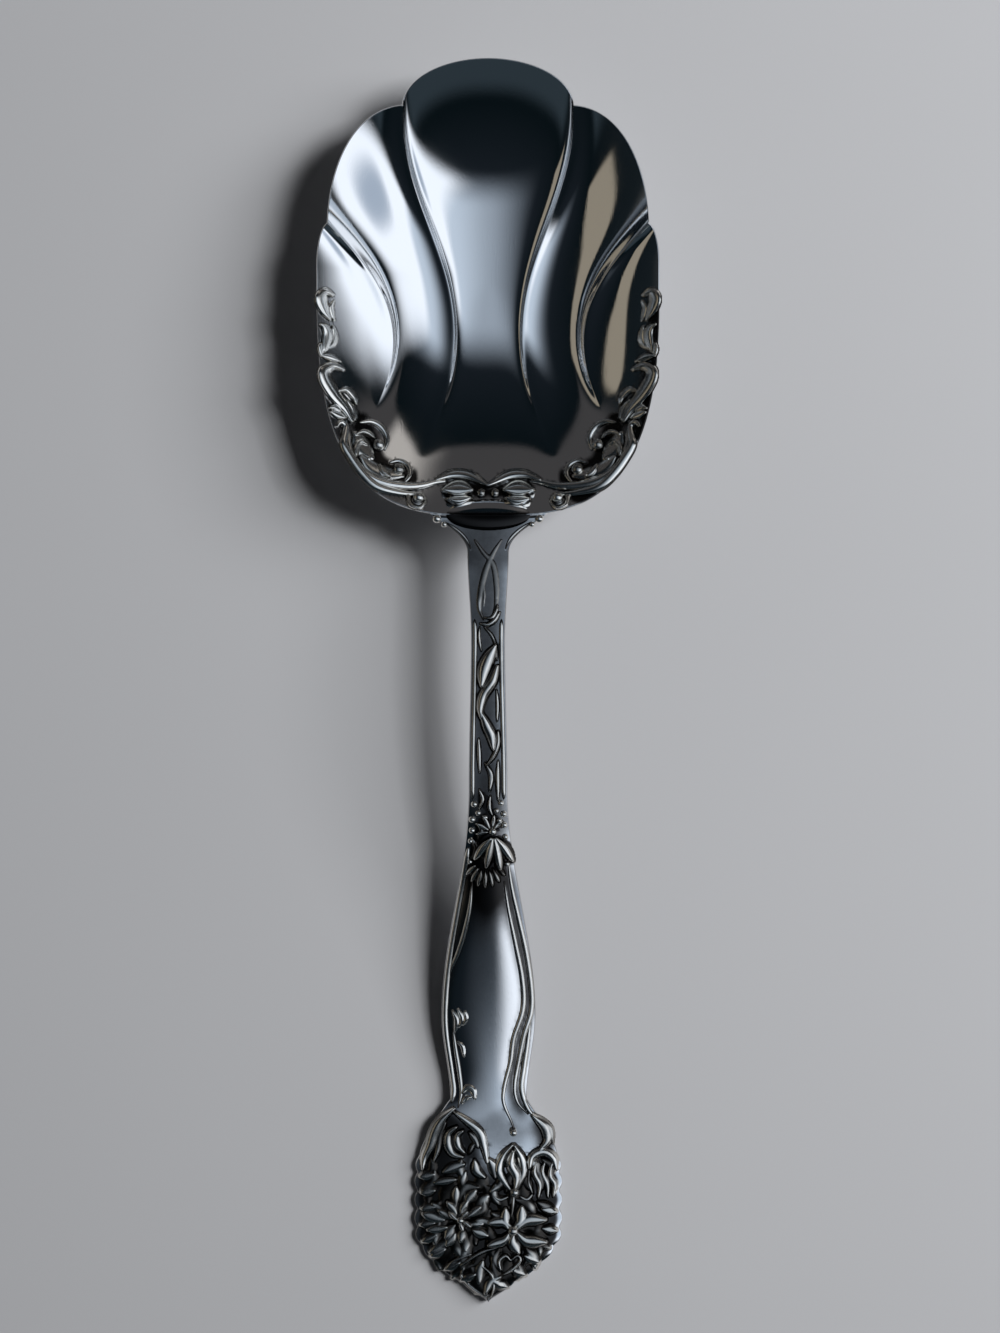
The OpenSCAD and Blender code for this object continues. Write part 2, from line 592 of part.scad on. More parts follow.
// Curled leaves and stalk ends at the terminal's upper corners
module terminal_curls() {
    ground = function (x, y) handle_top(x, y);
    curls = [
        [[[-0.44, 0.88], [-0.58, 0.84], [-0.60, 0.76], [-0.52, 0.725]], 1.2],
        [[[-0.345, 0.86], [-0.46, 0.82], [-0.49, 0.75], [-0.41, 0.725]], 1.1],
        [[[-0.335, 0.80], [-0.34, 0.775], [-0.34, 0.745], [-0.315, 0.715]], 1.1],
        [[[-0.50, 0.965], [-0.66, 0.89], [-0.66, 0.79], [-0.84, 0.71]], 1.4],
        [[[-0.40, 0.965], [-0.22, 0.86], [-0.19, 0.77], [-0.04, 0.67]], 1.4],
        [[[0.47, 0.985], [0.57, 0.93], [0.73, 0.86], [0.70, 0.77]], 1.6],
        [[[0.63, 0.73], [0.60, 0.66], [0.67, 0.58], [0.70, 0.51]], 1.3],
        [[[0.75, 0.735], [0.71, 0.66], [0.79, 0.59], [0.81, 0.52]], 1.4],
        [[[0.86, 0.71], [0.83, 0.66], [0.89, 0.60], [0.90, 0.54]], 1.3]
    ];
    color(relief_silver) {
        for (c = curls) leaf(terminal_path(c[0]), c[1], relief_height, ground, 7);
        bead(terminal_at(0.34, 0.86), 0.6, relief_height, ground);
    }
}

// Leaves round the terminal's edge, and two broad ones that close its point
module terminal_leaves() {
    ground = function (x, y) handle_top(x, y);
    edge = [[[0.90, 0.50], [0.93, 0.45], [0.93, 0.40], [0.89, 0.345]],
            [[0.83, 0.33], [0.87, 0.29], [0.85, 0.26], [0.77, 0.225]],
            [[0.62, 0.225], [0.65, 0.19], [0.60, 0.155], [0.50, 0.13]]];
    color(relief_silver) {
        for (side = [-1, 1], e = edge)
            leaf([for (q = e) terminal_at(side * q[0], q[1])], 1.8, 0.8 * relief_height, ground, 6);
        leaf(terminal_path([[-0.90, 0.68], [-0.86, 0.62], [-0.84, 0.58], [-0.82, 0.53]]),
             1.6, 0.9 * relief_height, ground, 6);
        leaf(terminal_path([[-0.14, 0.20], [-0.36, 0.16], [-0.30, 0.08], [-0.03, 0.035]]),
             2.6, relief_height, ground, 7, petal_section);
        leaf(terminal_path([[0.30, 0.23], [0.10, 0.19], [0.10, 0.12], [0.24, 0.09]]),
             2.2, relief_height, ground, 7, petal_section);
        leaf(terminal_path([[-0.62, 0.20], [-0.56, 0.16], [-0.50, 0.13], [-0.43, 0.11]]),
             1.6, 0.8 * relief_height, ground, 6);
    }
}

bowl();
handle();
border_left();
border_right();
heel_scrolls();
heel_bib();
stem_rails();
stem_tendrils();
stem_blossom();
panel_stalks();
panel_sprigs();
terminal_aster();
terminal_lily();
terminal_bud();
terminal_curls();
terminal_leaves();
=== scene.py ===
"""A berry spoon dressed for rendering: fluted bowl, low arched handle and struck flower relief.

Sizes in the classes are millimetres in the part's own frame. Meshes are written in metres.
"""

from __future__ import annotations

import logging
import math
import random
from dataclasses import dataclass, field, replace
from enum import Enum
from typing import Callable, ClassVar, Sequence

import bpy
import numpy as np
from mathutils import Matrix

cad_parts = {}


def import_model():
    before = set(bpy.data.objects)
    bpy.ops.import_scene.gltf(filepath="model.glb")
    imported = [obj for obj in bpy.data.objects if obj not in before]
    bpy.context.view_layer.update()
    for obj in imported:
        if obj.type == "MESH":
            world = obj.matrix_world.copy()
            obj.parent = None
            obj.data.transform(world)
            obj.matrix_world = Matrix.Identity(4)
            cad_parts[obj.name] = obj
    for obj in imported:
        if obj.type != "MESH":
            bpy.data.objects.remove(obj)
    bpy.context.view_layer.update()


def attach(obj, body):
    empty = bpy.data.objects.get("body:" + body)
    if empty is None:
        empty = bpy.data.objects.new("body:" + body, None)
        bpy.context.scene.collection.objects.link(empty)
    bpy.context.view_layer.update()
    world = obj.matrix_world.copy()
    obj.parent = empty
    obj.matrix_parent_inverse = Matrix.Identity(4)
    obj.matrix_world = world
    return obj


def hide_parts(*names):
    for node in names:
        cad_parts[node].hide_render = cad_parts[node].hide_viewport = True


MM = 0.001
# Vertex attribute of darkening: patina in the relief's hollows, with painted shade and painted dark
# reflection in places, and less where a painted highlight rubs it off.
TARNISH_AND_SHADE = "tarnish_and_shade"
GIRTH = "girth"
BODY = "root"
CURVE_STEPS = 24
COLOUR, FLOAT = "NodeSocketColor", "NodeSocketFloat"
GEOMETRY, MATERIAL = "NodeSocketGeometry", "NodeSocketMaterial"
LOG = logging.getLogger("berry_spoon")

Number = float | np.ndarray
Point = tuple[float, float]
Path = tuple[Point, ...]
Tone = tuple[float, float, float]
BeadPlace = tuple[float, float, float]
Shell = tuple[np.ndarray, np.ndarray]
Ground = Callable[[np.ndarray, np.ndarray], np.ndarray]
Material = bpy.types.Material
Piece = bpy.types.Object
Socket = bpy.types.NodeSocket
Sockets = bpy.types.NodeOutputs
Inputs = dict[str | int, object]


class Section(Enum):
    """Cross-section of a struck stroke of relief."""

    ROUND = "half-round bead"
    DOME = "low soft dome"
    LEAF = "crested leaf with a vein"


class Taper(Enum):
    """How a stroke's width runs from its start to its end."""

    EVEN = "even, with round ends"
    SWELL = "narrow at both ends"
    TAIL = "full at the start, pointed at the end"
    PETAL = "narrow at the start, round at the end"


def mix(a: Number, b: Number, t: Number) -> Number:
    """Blend from a to b, for numbers or arrays."""
    return a + (b - a) * t


def ease(t: Number) -> Number:
    """Smooth step from 0 to 1 with level ends."""
    t = np.clip(t, 0.0, 1.0)
    return t * t * (3.0 - 2.0 * t)


def climb(y: Number, low: float, high: float, a: float, b: float) -> Number:
    """Smooth change from a at the level low to b at the level high."""
    return mix(a, b, ease((y - low) / (high - low)))


def direction(azimuth: float, elevation: float) -> tuple[float, float, float]:
    """Unit vector of an azimuth, from +X towards +Y, and an elevation, in degrees."""
    a, e = math.radians(azimuth), math.radians(elevation)
    return (math.cos(e) * math.cos(a), math.cos(e) * math.sin(a), math.sin(e))


def spline(points: Sequence[Point], count: int) -> np.ndarray:
    """Sample a Catmull-Rom curve through plan points.

    Args:
        points: Two or more plan points.
        count: Number of samples.

    Returns:
        Array of samples, count by 2, evenly spaced along the curve.
    """
    p = np.asarray(points, float)
    p = np.vstack([2 * p[0] - p[1], p, 2 * p[-1] - p[-2]])
    t = np.linspace(0, 1, CURVE_STEPS, endpoint=False)[:, None]
    fine = []
    for i in range(1, len(p) - 2):
        a, b, c, d = p[i - 1 : i + 3]
        square, cube = 2 * a - 5 * b + 4 * c - d, 3 * b - a - 3 * c + d
        fine.append(0.5 * (2 * b + (c - a) * t + square * t**2 + cube * t**3))
    curve = np.concatenate([*fine, p[-2:-1]])
    reach = np.concatenate([[0], np.cumsum(np.linalg.norm(np.diff(curve, axis=0), axis=1))])
    even = np.linspace(0, reach[-1], count)
    return np.stack([np.interp(even, reach, curve[:, k]) for k in (0, 1)], -1)


def blur(grid: np.ndarray, radius: float) -> np.ndarray:
    """Gaussian blur of a map.

    Args:
        grid: Two-dimensional map.
        radius: Standard deviation in cells.

    Returns:
        The blurred map, of the same shape.
    """
    reach = int(3 * radius) + 1
    kernel = np.exp(-0.5 * (np.arange(-reach, reach + 1) / radius) ** 2)
    kernel /= kernel.sum()
    out = np.pad(grid, reach, mode="edge")
    for axis in (0, 1):
        out = np.apply_along_axis(np.convolve, axis, out, kernel, "valid")
    return out


@dataclass(frozen=True)
class Stroke:
    """One struck stroke of relief along a path in plan."""

    points: Path
    width: float
    height: float = 1.0
    section: Section = Section.ROUND
    taper: Taper = Taper.SWELL

    def path(self, count: int = 40) -> np.ndarray:
        """Samples along the stroke's middle line."""
        return spline(self.points, count)

    def half(self, t: np.ndarray) -> np.ndarray:
        """Half width of the stroke.

        Args:
            t: Places along it, from 0 to 1.

        Returns:
            Half widths in millimetres.
        """
        if self.taper is Taper.EVEN:
            end = np.clip(np.minimum(t, 1 - t) / 0.05, 0.02, 1)
            share = np.sqrt(np.clip(1.0 - (1.0 - end) ** 2, 0, 1))
        elif self.taper is Taper.SWELL:
            share = np.sin(np.pi * mix(0.05, 0.95, t)) ** 0.6
        elif self.taper is Taper.TAIL:
            share = mix(1.0, 0.18, t**1.3)
        else:
            share = np.sin(np.pi * mix(0.10, 0.90, t)) ** 0.8 * mix(0.75, 1.15, t)
        return 0.5 * self.width * share

    def profile(self, v: np.ndarray, t: np.ndarray) -> np.ndarray:
        """Cross-section of the stroke.

        Args:
            v: Places across, from -1 to 1.
            t: Places along, from 0 to 1.

        Returns:
            Shares of the full height.
        """
        inside = np.clip(1.0 - v * v, 0.0, 1.0)
        if self.section is Section.ROUND:
            return inside**0.5
        if self.section is Section.DOME:
            return inside**0.75
        vein = 0.28 * np.exp(-((v / 0.16) ** 2)) * np.sin(np.pi * np.clip(t, 0, 1))
        return inside**0.55 * (1.0 - 0.25 * np.abs(v)) - vein

    def rise(self, places: np.ndarray) -> np.ndarray:
        """Height of the stroke over its ground.

        Args:
            places: Plan points, count by 2.

        Returns:
            Heights, 0 beside the stroke.
        """
        path = self.path()
        run = np.diff(path, axis=0)
        rel = places[:, None, :] - path[None, :-1]
        share = np.clip((rel * run[None]).sum(-1) / (run * run).sum(-1)[None], 0, 1)
        off = rel - share[..., None] * run[None]
        gap = (off**2).sum(-1)
        near = gap.argmin(1)
        rows = np.arange(len(places))
        t = (near + share[rows, near]) / len(run)
        side = np.sign(run[near, 0] * off[rows, near, 1] - run[near, 1] * off[rows, near, 0])
        v = side * np.sqrt(gap[rows, near]) / np.maximum(self.half(t), 0.03)
        return self.height * self.profile(v, t) * (np.abs(v) < 1)


def rib(width: float, height: float, *points: Point) -> Stroke:
    """Half-round stroke, narrow at both ends."""
    return Stroke(points, width, height)


def dome(width: float, height: float, *points: Point) -> Stroke:
    """Low soft stroke, narrow at both ends."""
    return Stroke(points, width, height, Section.DOME)


def leaf(width: float, height: float, *points: Point) -> Stroke:
    """Crested leaf with a vein, narrow at both ends."""
    return Stroke(points, width, height, Section.LEAF)


def petal(width: float, height: float, points: Path, section: Section = Section.DOME) -> Stroke:
    """Petal, narrow at its start and round at its end."""
    return Stroke(points, width, height, section, Taper.PETAL)


def wash(width: float, tarnish_and_shade: float, *points: Point, section: Section = Section.ROUND) -> Stroke:
    """Broad even stroke of darkening, patina in some places and painted shade in others, which raises
    nothing: its height is a share of full darkening.
    """
    return Stroke(points, width, tarnish_and_shade, section, Taper.EVEN)


def mirrored(strokes: Sequence[Stroke]) -> list[Stroke]:
    """Mirror strokes from the left half to the right."""
    return [replace(s, points=tuple((-x, y) for x, y in s.points)) for s in strokes]


def both_sides(places: Sequence[BeadPlace]) -> list[BeadPlace]:
    """Bead places of the left half, and then the same on the right."""
    return [(side * x, y, r) for side in (1, -1) for x, y, r in places]


def bent_ray(heart: Point, way: Point, steps: Sequence[Point]) -> Path:
    """Plan points along a ray, which bends to its side.

    Args:
        heart: Plan point from which the ray runs.
        way: Its way in plan.
        steps: Distance along the ray and offset to its left, for each point.

    Returns:
        The points.
    """
    along, side = np.array(way), np.array([-way[1], way[0]])
    return tuple(tuple(float(c) for c in np.array(heart) + r * along + b * side) for r, b in steps)


def fan_blade(foot: Point, degrees: float, *steps: Point) -> Path:
    """Plan points of one blade of a fan.

    Args:
        foot: Plan point from which the fan opens.
        degrees: The blade's way, from +X towards +Y.
        steps: Reach and share of it that is kept in width, for each point.

    Returns:
        The points.
    """
    a = math.radians(degrees)
    return tuple((foot[0] + r * math.cos(a) * kept, foot[1] + r * math.sin(a)) for r, kept in steps)


@dataclass(frozen=True)
class BowlForm:
    """Form of the fluted bowl. The points of a crest are its notch in the front rim and two guides."""

    half: float = 30.6
    front: float = 37.1
    heel: float = 44.8
    wide_y: float = 76.2
    depth: float = 14.4
    wall: float = 1.4
    floor: float = 1.1
    flute: float = 2.0
    middle_powers: Point = (12.0, 5.5)
    side_powers: Point = (4.2, 3.4)
    power_change: float = 0.4
    front_power: float = 2.2
    heel_power: float = 3.1
    wall_power: float = 2.1
    inner_crest: Path = ((0.50, 0.778), (0.545, 0.162), (-0.214, -0.021))
    outer_crest: Path = ((0.938, 0.20), (0.583, -0.054), (0.374, -0.282))
    inner_end: float = 68.8
    outer_end: float = 53.1
    side_end: float = 12.0
    inner_fade: float = 0.93
    outer_fade: float = 0.85
    crest_round: float = 0.16
    border_from: float = 0.93
    border_soft: float = 0.2
    border_ease: float = 8.0

    def share(self, x: np.ndarray, y: np.ndarray) -> np.ndarray:
        """Distance from the bowl's middle as a share of the way to its rim.

        Args:
            x: Plan x.
            y: Plan y.

        Returns:
            Shares, 1 at the rim.
        """
        dy = y - self.wide_y
        front = np.abs(x / self.half) ** self.front_power + np.abs(dy / self.front) ** self.front_power
        heel = np.abs(x / self.half) ** self.heel_power + np.abs(dy / self.heel) ** self.heel_power
        return np.where(dy > 0, front ** (1 / self.front_power), heel ** (1 / self.heel_power))

    def inside(self, x: np.ndarray, y: np.ndarray) -> np.ndarray:
        """Height of the smooth inner form."""
        return self.floor + self.depth * self.share(x, y) ** self.wall_power

    def point(self, across: float, along: float) -> np.ndarray:
        """Plan point from shares of the half width and of the reach to the front or heel."""
        reach = self.front if along > 0 else self.heel
        return np.array([across * self.half, self.wide_y + along * reach])

    def rim_radius(self, angle: Number) -> Number:
        """Distance of the heel's rim from the middle, at an angle in degrees from +X to the heel."""
        a, p = np.radians(angle), self.heel_power
        return (np.abs(np.cos(a) / self.half) ** p + np.abs(np.sin(a) / self.heel) ** p) ** (-1 / p)

    def rim(self, angle: Number, inset: float = 0.0) -> np.ndarray:
        """Plan points at or inside the heel's rim."""
        a, r = np.radians(angle), self.rim_radius(angle) - inset
        return np.stack([r * np.cos(a), self.wide_y - r * np.sin(a)], -1)

    def heel_rim_y(self, x: np.ndarray) -> np.ndarray:
        """Y of the heel's rim at x."""
        p = self.heel_power
        return self.wide_y - self.heel * (1 - np.abs(x / self.half) ** p) ** (1 / p)

    def crest(self, inner: bool, u: np.ndarray) -> np.ndarray:
        """Crest line of a flute in plan.

        Args:
            inner: True for the flute beside the middle lobe.
            u: Places from the front rim, 0, to the heel's rim, 1.

        Returns:
            Plan points.
        """
        shares, end = (self.inner_crest, self.inner_end) if inner else (self.outer_crest, self.outer_end)
        a, b, c = (self.point(*share) for share in shares)
        t = np.asarray(u, float)[..., None]
        s = 1 - t
        return s**3 * a + 3 * s * s * t * b + 3 * s * t * t * c + t**3 * self.rim(end)

    def edge(self, lobe: int, side: int, u: np.ndarray) -> np.ndarray:
        """Edge line of a lobe's patch.

        Args:
            lobe: 0 in the middle, 1 and 2 to its right.
            side: 0 for the left edge, 1 for the right.
            u: Places from the front rim, 0, to the heel's rim, 1.

        Returns:
            Plan points.
        """
        if lobe == 0:
            return self.crest(True, u) * ([-1, 1] if side == 0 else [1, 1])
        if lobe == 1:
            return self.crest(side == 0, u)
        return self.crest(False, u) if side == 0 else self.rim(self.side_end * np.asarray(u, float))

    def front_rim(self, lobe: int, s: np.ndarray) -> np.ndarray:
        """Front rim of a lobe: part of an ellipse between two notches.

        Args:
            lobe: 0 in the middle, 1 and 2 to its right.
            s: Places from left, 0, to right, 1.

        Returns:
            Plan points.
        """
        inner, outer = self.point(*self.inner_crest[0]), self.point(*self.outer_crest[0])
        if lobe == 0:
            a = np.radians(180 * s - 90)
            return np.stack([inner[0] * np.sin(a), mix(inner[1], self.wide_y + self.front, np.cos(a))], -1)
        start, end = (inner, outer) if lobe == 1 else (outer, np.array([self.half, self.wide_y]))
        a = np.radians(90 * s)
        return np.stack([mix(start[0], end[0], np.sin(a)), mix(end[1], start[1], np.cos(a))], -1)

    def heel_rim(self, lobe: int, s: np.ndarray) -> np.ndarray:
        """Heel rim of a lobe's patch."""
        stops = [180 - self.inner_end, self.inner_end, self.outer_end, self.side_end]
        return self.rim(mix(stops[lobe], stops[lobe + 1], s))

    def plan(self, lobe: int, u: np.ndarray, s: np.ndarray) -> np.ndarray:
        """Plan points of a lobe's patch, blended between its four edges.

        Args:
            lobe: 0 in the middle, 1 and 2 to its right.
            u: Places from the front rim, 0, to the heel's rim, 1.
            s: Places from left, 0, to right, 1.

        Returns:
            Plan points.
        """
        zero, one = np.zeros_like(u), np.ones_like(u)
        across, along = s[..., None], u[..., None]
        line = mix(self.edge(lobe, 0, u), self.edge(lobe, 1, u), across)
        start = self.front_rim(lobe, s) - mix(self.edge(lobe, 0, zero), self.edge(lobe, 1, zero), across)
        end = self.heel_rim(lobe, s) - mix(self.edge(lobe, 0, one), self.edge(lobe, 1, one), across)
        return line + (1 - along) * start + along * end

    def crest_height(self, inner: bool, u: np.ndarray) -> np.ndarray:
        """Height of a crest along its length."""
        return self.flute * (1 - np.minimum(1, u / (self.inner_fade if inner else self.outer_fade)) ** 3)

    def channel(self, lobe: int, u: np.ndarray, near: np.ndarray) -> np.ndarray:
        """Hollow channel section of a flute.

        Args:
            lobe: 0 in the middle, 1 and 2 to its right.
            u: Places from the front rim, 0, to the heel's rim, 1.
            near: Nearness to the crest, 1 on it.

        Returns:
            Shares of the crest's height: 1 at the softly rounded crest and 0 in the channel.
        """
        rim, inward = self.middle_powers if lobe == 0 else self.side_powers
        power = mix(rim, inward, ease(u / self.power_change))
        soft = np.sqrt((1 - near) ** 2 + (self.crest_round / power) ** 2)
        return np.clip(1 - soft, 0, 1) ** power

    def lobed(self, lobe: int, u: np.ndarray, s: np.ndarray) -> np.ndarray:
        """Fluted inner surface of a lobe, which is smooth under the border.

        Args:
            lobe: 0 in the middle, 1 and 2 to its right.
            u: Places from the front rim, 0, to the heel's rim, 1.
            s: Places from left, 0, to right, 1.

        Returns:
            Points, x, y and z.
        """
        p = self.plan(lobe, u, s)
        x, y = p[..., 0], p[..., 1]
        if lobe == 2:
            relief = self.crest_height(False, u) * self.channel(lobe, u, 1 - s)
        else:
            left = self.crest_height(True, u) * self.channel(lobe, u, 1 - 2 * s)
            right = self.crest_height(lobe == 0, u) * self.channel(lobe, u, 2 * s - 1)
            relief = np.where(s < 0.5, left, right)
        clear = ease((self.border_from - self.share(x, y)) / self.border_soft)
        band = mix(1.0, clear, ease((self.wide_y - y) / self.border_ease))
        return np.stack([x, y, self.inside(x, y) + band * relief], -1)


@dataclass(frozen=True)
class HandleForm:
    """Form of the handle: shoulder, stem, panel and terminal."""

    tip_y: float = -113.3
    heel_y: float = 31.4
    waist_y: float = -75.8
    belly_y: float = -60.3
    panel_top_y: float = -17.8
    neck_y: float = 24.4
    arch_y: float = 9.4
    point_y: float = -99.8
    level_y: float = -99.3
    rim_top: float = 15.5
    arch_height: float = 17.0
    widths: tuple[float, ...] = (21.6, 7.0, 5.7, 6.6, 17.0, 13.8, 26.6)
    thick: tuple[float, ...] = (2.6, 4.0, 2.8, 2.6)
    crown_height: float = 1.8
    crown_left: float = 0.12
    terminal_crown: float = 1.2
    rise_power: float = 1.25
    flare_power: float = 2.2
    swell: float = 0.6
    scallop_depth: float = 0.6
    scallop_pitch: float = 3.4
    scallop_below: float = 9.0
    # Rubbed bright edge of the terminal: wear on both sides, and the stronger rub on the right is a painted
    # highlight on the lit side.
    rubbed_left: float = 0.3
    rubbed_and_lit_right: float = 0.9
    rubbed_from: float = 0.92
    rubbed_below: float = 8.0

    def scallops(self, y: np.ndarray) -> np.ndarray:
        """Waves of the terminal's edge, as what they add to its half width.

        Args:
            y: Plan y.

        Returns:
            Additions in millimetres.
        """
        pitch = self.scallop_pitch
        start = ease((self.waist_y - self.scallop_below - y) / pitch)
        depth = self.scallop_depth * start * ease((y - self.tip_y) / pitch)
        return depth * (np.abs(np.sin(np.pi * (y - self.tip_y) / pitch)) - 0.6)

    def half_width(self, y: np.ndarray) -> np.ndarray:
        """Half width of the plan outline.

        Args:
            y: Plan y.

        Returns:
            Half widths in millimetres.
        """
        shoulder, neck, stem, foot, panel, waist, terminal = self.widths
        y = np.asarray(y, float)
        scallop = self.scallops(y)
        swell = np.clip((self.waist_y - y) / (self.swell * (self.waist_y - self.point_y)), 0, 1)
        flare = np.clip((y - self.neck_y) / (self.heel_y - self.neck_y), 0, 1) ** self.flare_power
        close = np.clip((y - self.tip_y) / (self.point_y - self.tip_y), 0, 1)
        spans = (
            (self.arch_y, self.neck_y, stem, neck),
            (self.panel_top_y, self.arch_y, foot, stem),
            (self.belly_y, self.panel_top_y, panel, foot),
            (self.waist_y, self.belly_y, waist, panel),
        )
        places = [y > self.neck_y, *(y > low for low, *_ in spans), y > self.point_y]
        halves = [
            mix(neck, shoulder, flare) / 2,
            *(climb(y, *span) / 2 for span in spans),
            mix(waist, terminal, np.sin(0.5 * np.pi * swell)) / 2 + scallop,
        ]
        return np.select(places, halves, terminal / 2 * np.sin(0.5 * np.pi * close) + scallop)

    def spine(self, y: np.ndarray) -> np.ndarray:
        """Height of the top line.

        Args:
            y: Plan y.

        Returns:
            Heights in millimetres.
        """
        fall = climb(y, self.arch_y, self.heel_y, self.arch_height, self.rim_top)
        rise = ease((y - self.level_y) / (self.arch_y - self.level_y)) ** self.rise_power
        return np.where(y > self.arch_y, fall, mix(self.thick[3], self.arch_height, rise))

    def thickness(self, y: np.ndarray) -> np.ndarray:
        """Thickness under the top line.

        Args:
            y: Plan y.

        Returns:
            Thicknesses in millimetres.
        """
        shoulder, stem, panel, terminal = self.thick
        fore = climb(y, self.arch_y, self.heel_y, stem, shoulder)
        mid = climb(y, self.belly_y, self.arch_y, panel, stem)
        end = climb(y, self.waist_y, self.belly_y, terminal, panel)
        return np.where(y > self.arch_y, fore, np.where(y > self.belly_y, mid, end))

    def crown(self, y: np.ndarray) -> np.ndarray:
        """Fall of the top from the middle line to the edges.

        Args:
            y: Plan y.

        Returns:
            Falls in millimetres.
        """
        swell = ease((self.panel_top_y - y) / 20) * ease((y - self.waist_y) / 12 + 0.5)
        domed = (self.terminal_crown - self.crown_left * self.crown_height) * ease((self.waist_y - y) / 12)
        return self.crown_height * mix(self.crown_left, 1.0, swell) + domed

    def rubbed_and_lit_edge(self, x: np.ndarray, y: np.ndarray) -> np.ndarray:
        """How far the terminal's edge is rubbed bright: wear all round, with more on the right as a painted
        highlight on the lit side.

        Args:
            x: Plan x.
            y: Plan y.

        Returns:
            Shares of the darkening that is rubbed off.
        """
        share = np.abs(x) / np.maximum(self.half_width(y), 0.1)
        most = np.where(x > 0, self.rubbed_and_lit_right, self.rubbed_left)
        below = ease((self.waist_y - self.rubbed_below - y) / 4.0)
        return most * ease((share - self.rubbed_from) / 0.06) * below

    def top(self, x: np.ndarray, y: np.ndarray) -> np.ndarray:
        """Height of the top surface."""
        share = np.minimum(1.0, np.abs(x) / np.maximum(self.half_width(y), 0.1))
        return self.spine(y) - self.crown(y) * share**2


@dataclass
class ReliefField:
    """Height field of all the relief on one carrier, with the patina that gathers in it and the painted
    shade laid on its ground.
    """

    ground: Ground
    low: Point
    high: Point
    step: float = 0.11
    smooth: float = 0.09
    least_rise: float = 0.04
    crease_reach: float = 0.25
    crease_depth: float = 2.5
    window: float = 1.3
    heights: dict[str, np.ndarray] = field(default_factory=dict)
    total: np.ndarray = field(init=False)
    dense: np.ndarray = field(init=False)
    soil_and_shade: np.ndarray = field(init=False)
    mask: np.ndarray = field(init=False)

    def __post_init__(self) -> None:
        """Lay out the grid and its empty maps."""
        self.xs = np.arange(self.low[0], self.high[0] + self.step, self.step)
        self.ys = np.arange(self.low[1], self.high[1] + self.step, self.step)
        shape = (len(self.ys), len(self.xs))
        self.total, self.dense, self.soil_and_shade, self.mask = (np.zeros(shape) for _ in range(4))

    def own(self, piece: str) -> np.ndarray:
        """Height map of a piece, empty at first."""
        return self.heights.setdefault(piece, np.zeros_like(self.total))

    def strike(self, piece: str, strokes: Sequence[Stroke], stain: bool = False) -> None:
        """Add strokes to a piece's height map.

        Args:
            piece: Name of the piece.
            strokes: Strokes to add.
            stain: True where tarnish fills the ground between the strokes.
        """
        self.lay(strokes, [self.total, self.own(piece), *([self.dense] if stain else [])])

    def shade(self, strokes: Sequence[Stroke]) -> None:
        """Let strokes shade the ground only, because a swept mesh shows them."""
        self.lay(strokes, [self.total])

    def tint(self, strokes: Sequence[Stroke]) -> None:
        """Darken the ground under broad strokes, patina in some places and painted shade in others; their
        heights are shares of full darkening.
        """
        self.lay(strokes, [self.soil_and_shade])

    def lay(self, strokes: Sequence[Stroke], targets: Sequence[np.ndarray]) -> None:
        """Draw strokes into maps, keeping the higher value at each place.

        Args:
            strokes: Strokes to draw.
            targets: Maps to draw into.
        """
        for stroke in strokes:
            path = stroke.path()
            margin = 0.5 * stroke.width * self.window + self.step
            i0, i1 = np.searchsorted(self.ys, [path[:, 1].min() - margin, path[:, 1].max() + margin])
            j0, j1 = np.searchsorted(self.xs, [path[:, 0].min() - margin, path[:, 0].max() + margin])
            if i1 - i0 < 2 or j1 - j0 < 2:
                continue
            gx, gy = np.meshgrid(self.xs[j0:j1], self.ys[i0:i1])
            rise = stroke.rise(np.stack([gx.ravel(), gy.ravel()], -1)).reshape(gx.shape)
            for target in targets:
                part = target[i0:i1, j0:j1]
                np.maximum(part, rise, out=part)

    def settle(
        self, reach: float, bright_from: float, bright_full: float, left: float, soft: float
    ) -> None:
        """Work out the darkening: patina on the ground between dense relief and low on its sides, and the
        tinted strokes, which are painted shade in places.

        Args:
            reach: Distance in millimetres over which relief counts as dense.
            bright_from: Share of the nearby height below which the metal stays dark.
            bright_full: Share of the nearby height above which it is rubbed bright.
            left: Share of the tinted darkening that stays on the rubbed tops.
            soft: Millimetres over which the edges of the tinted darkening fade.
        """
        cells = max(2, int(round(reach / self.step)))
        crown = self.total
        for axis in (0, 1):
            crown = np.max([np.roll(crown, k, axis) for k in range(-cells, cells + 1)], axis=0)
        share = self.total / np.maximum(blur(crown, 0.5 * cells), 0.2)
        low = 1.0 - ease((share - bright_from) / (bright_full - bright_from))
        crowd = blur((self.dense > 0.02).astype(float), 0.8 * cells)
        crease = (blur(self.total, self.crease_reach / self.step) - self.total) * self.crease_depth
        soil_and_shade = blur(self.soil_and_shade, soft / self.step) * mix(left, 1.0, low)
        crowded = low * ease((crowd - 0.10) / 0.35)
        self.mask = np.clip(np.max([crowded, np.clip(crease, 0, 1), soil_and_shade], axis=0), 0, 1)

    def rub(self, share: Ground) -> None:
        """Rub off the given share of the darkening at each place."""
        gx, gy = np.meshgrid(self.xs, self.ys)
        self.mask = self.mask * (1.0 - share(gx, gy))

    def plate(
        self, piece: str, centre: Point, radii: Point, crown: float, tilt: float, bend: float
    ) -> None:
        """Add a smooth oval plate to a piece's height map.

        Args:
            piece: Name of the piece.
            centre: Plan centre of the oval.
            radii: Half width and half length of the oval.
            crown: Height of the plate's middle over the frame's floor.
            tilt: Fall of the plate along +Y.
            bend: Fall of the plate with the square of the distance from its middle line.
        """
        gx, gy = np.meshgrid(self.xs, self.ys)
        dx, dy = gx - centre[0], gy - centre[1]
        out = (dx / radii[0]) ** 2 + (dy / radii[1]) ** 2
        level = crown - tilt * dy - bend * (dx * dx * 0.12 + dy * dy)
        rise = np.maximum(0.06, level - self.ground(gx, gy)) * np.clip(1 - out, 0, 1) ** 0.4
        for target in (self.own(piece), self.total):
            np.maximum(target, rise, out=target)

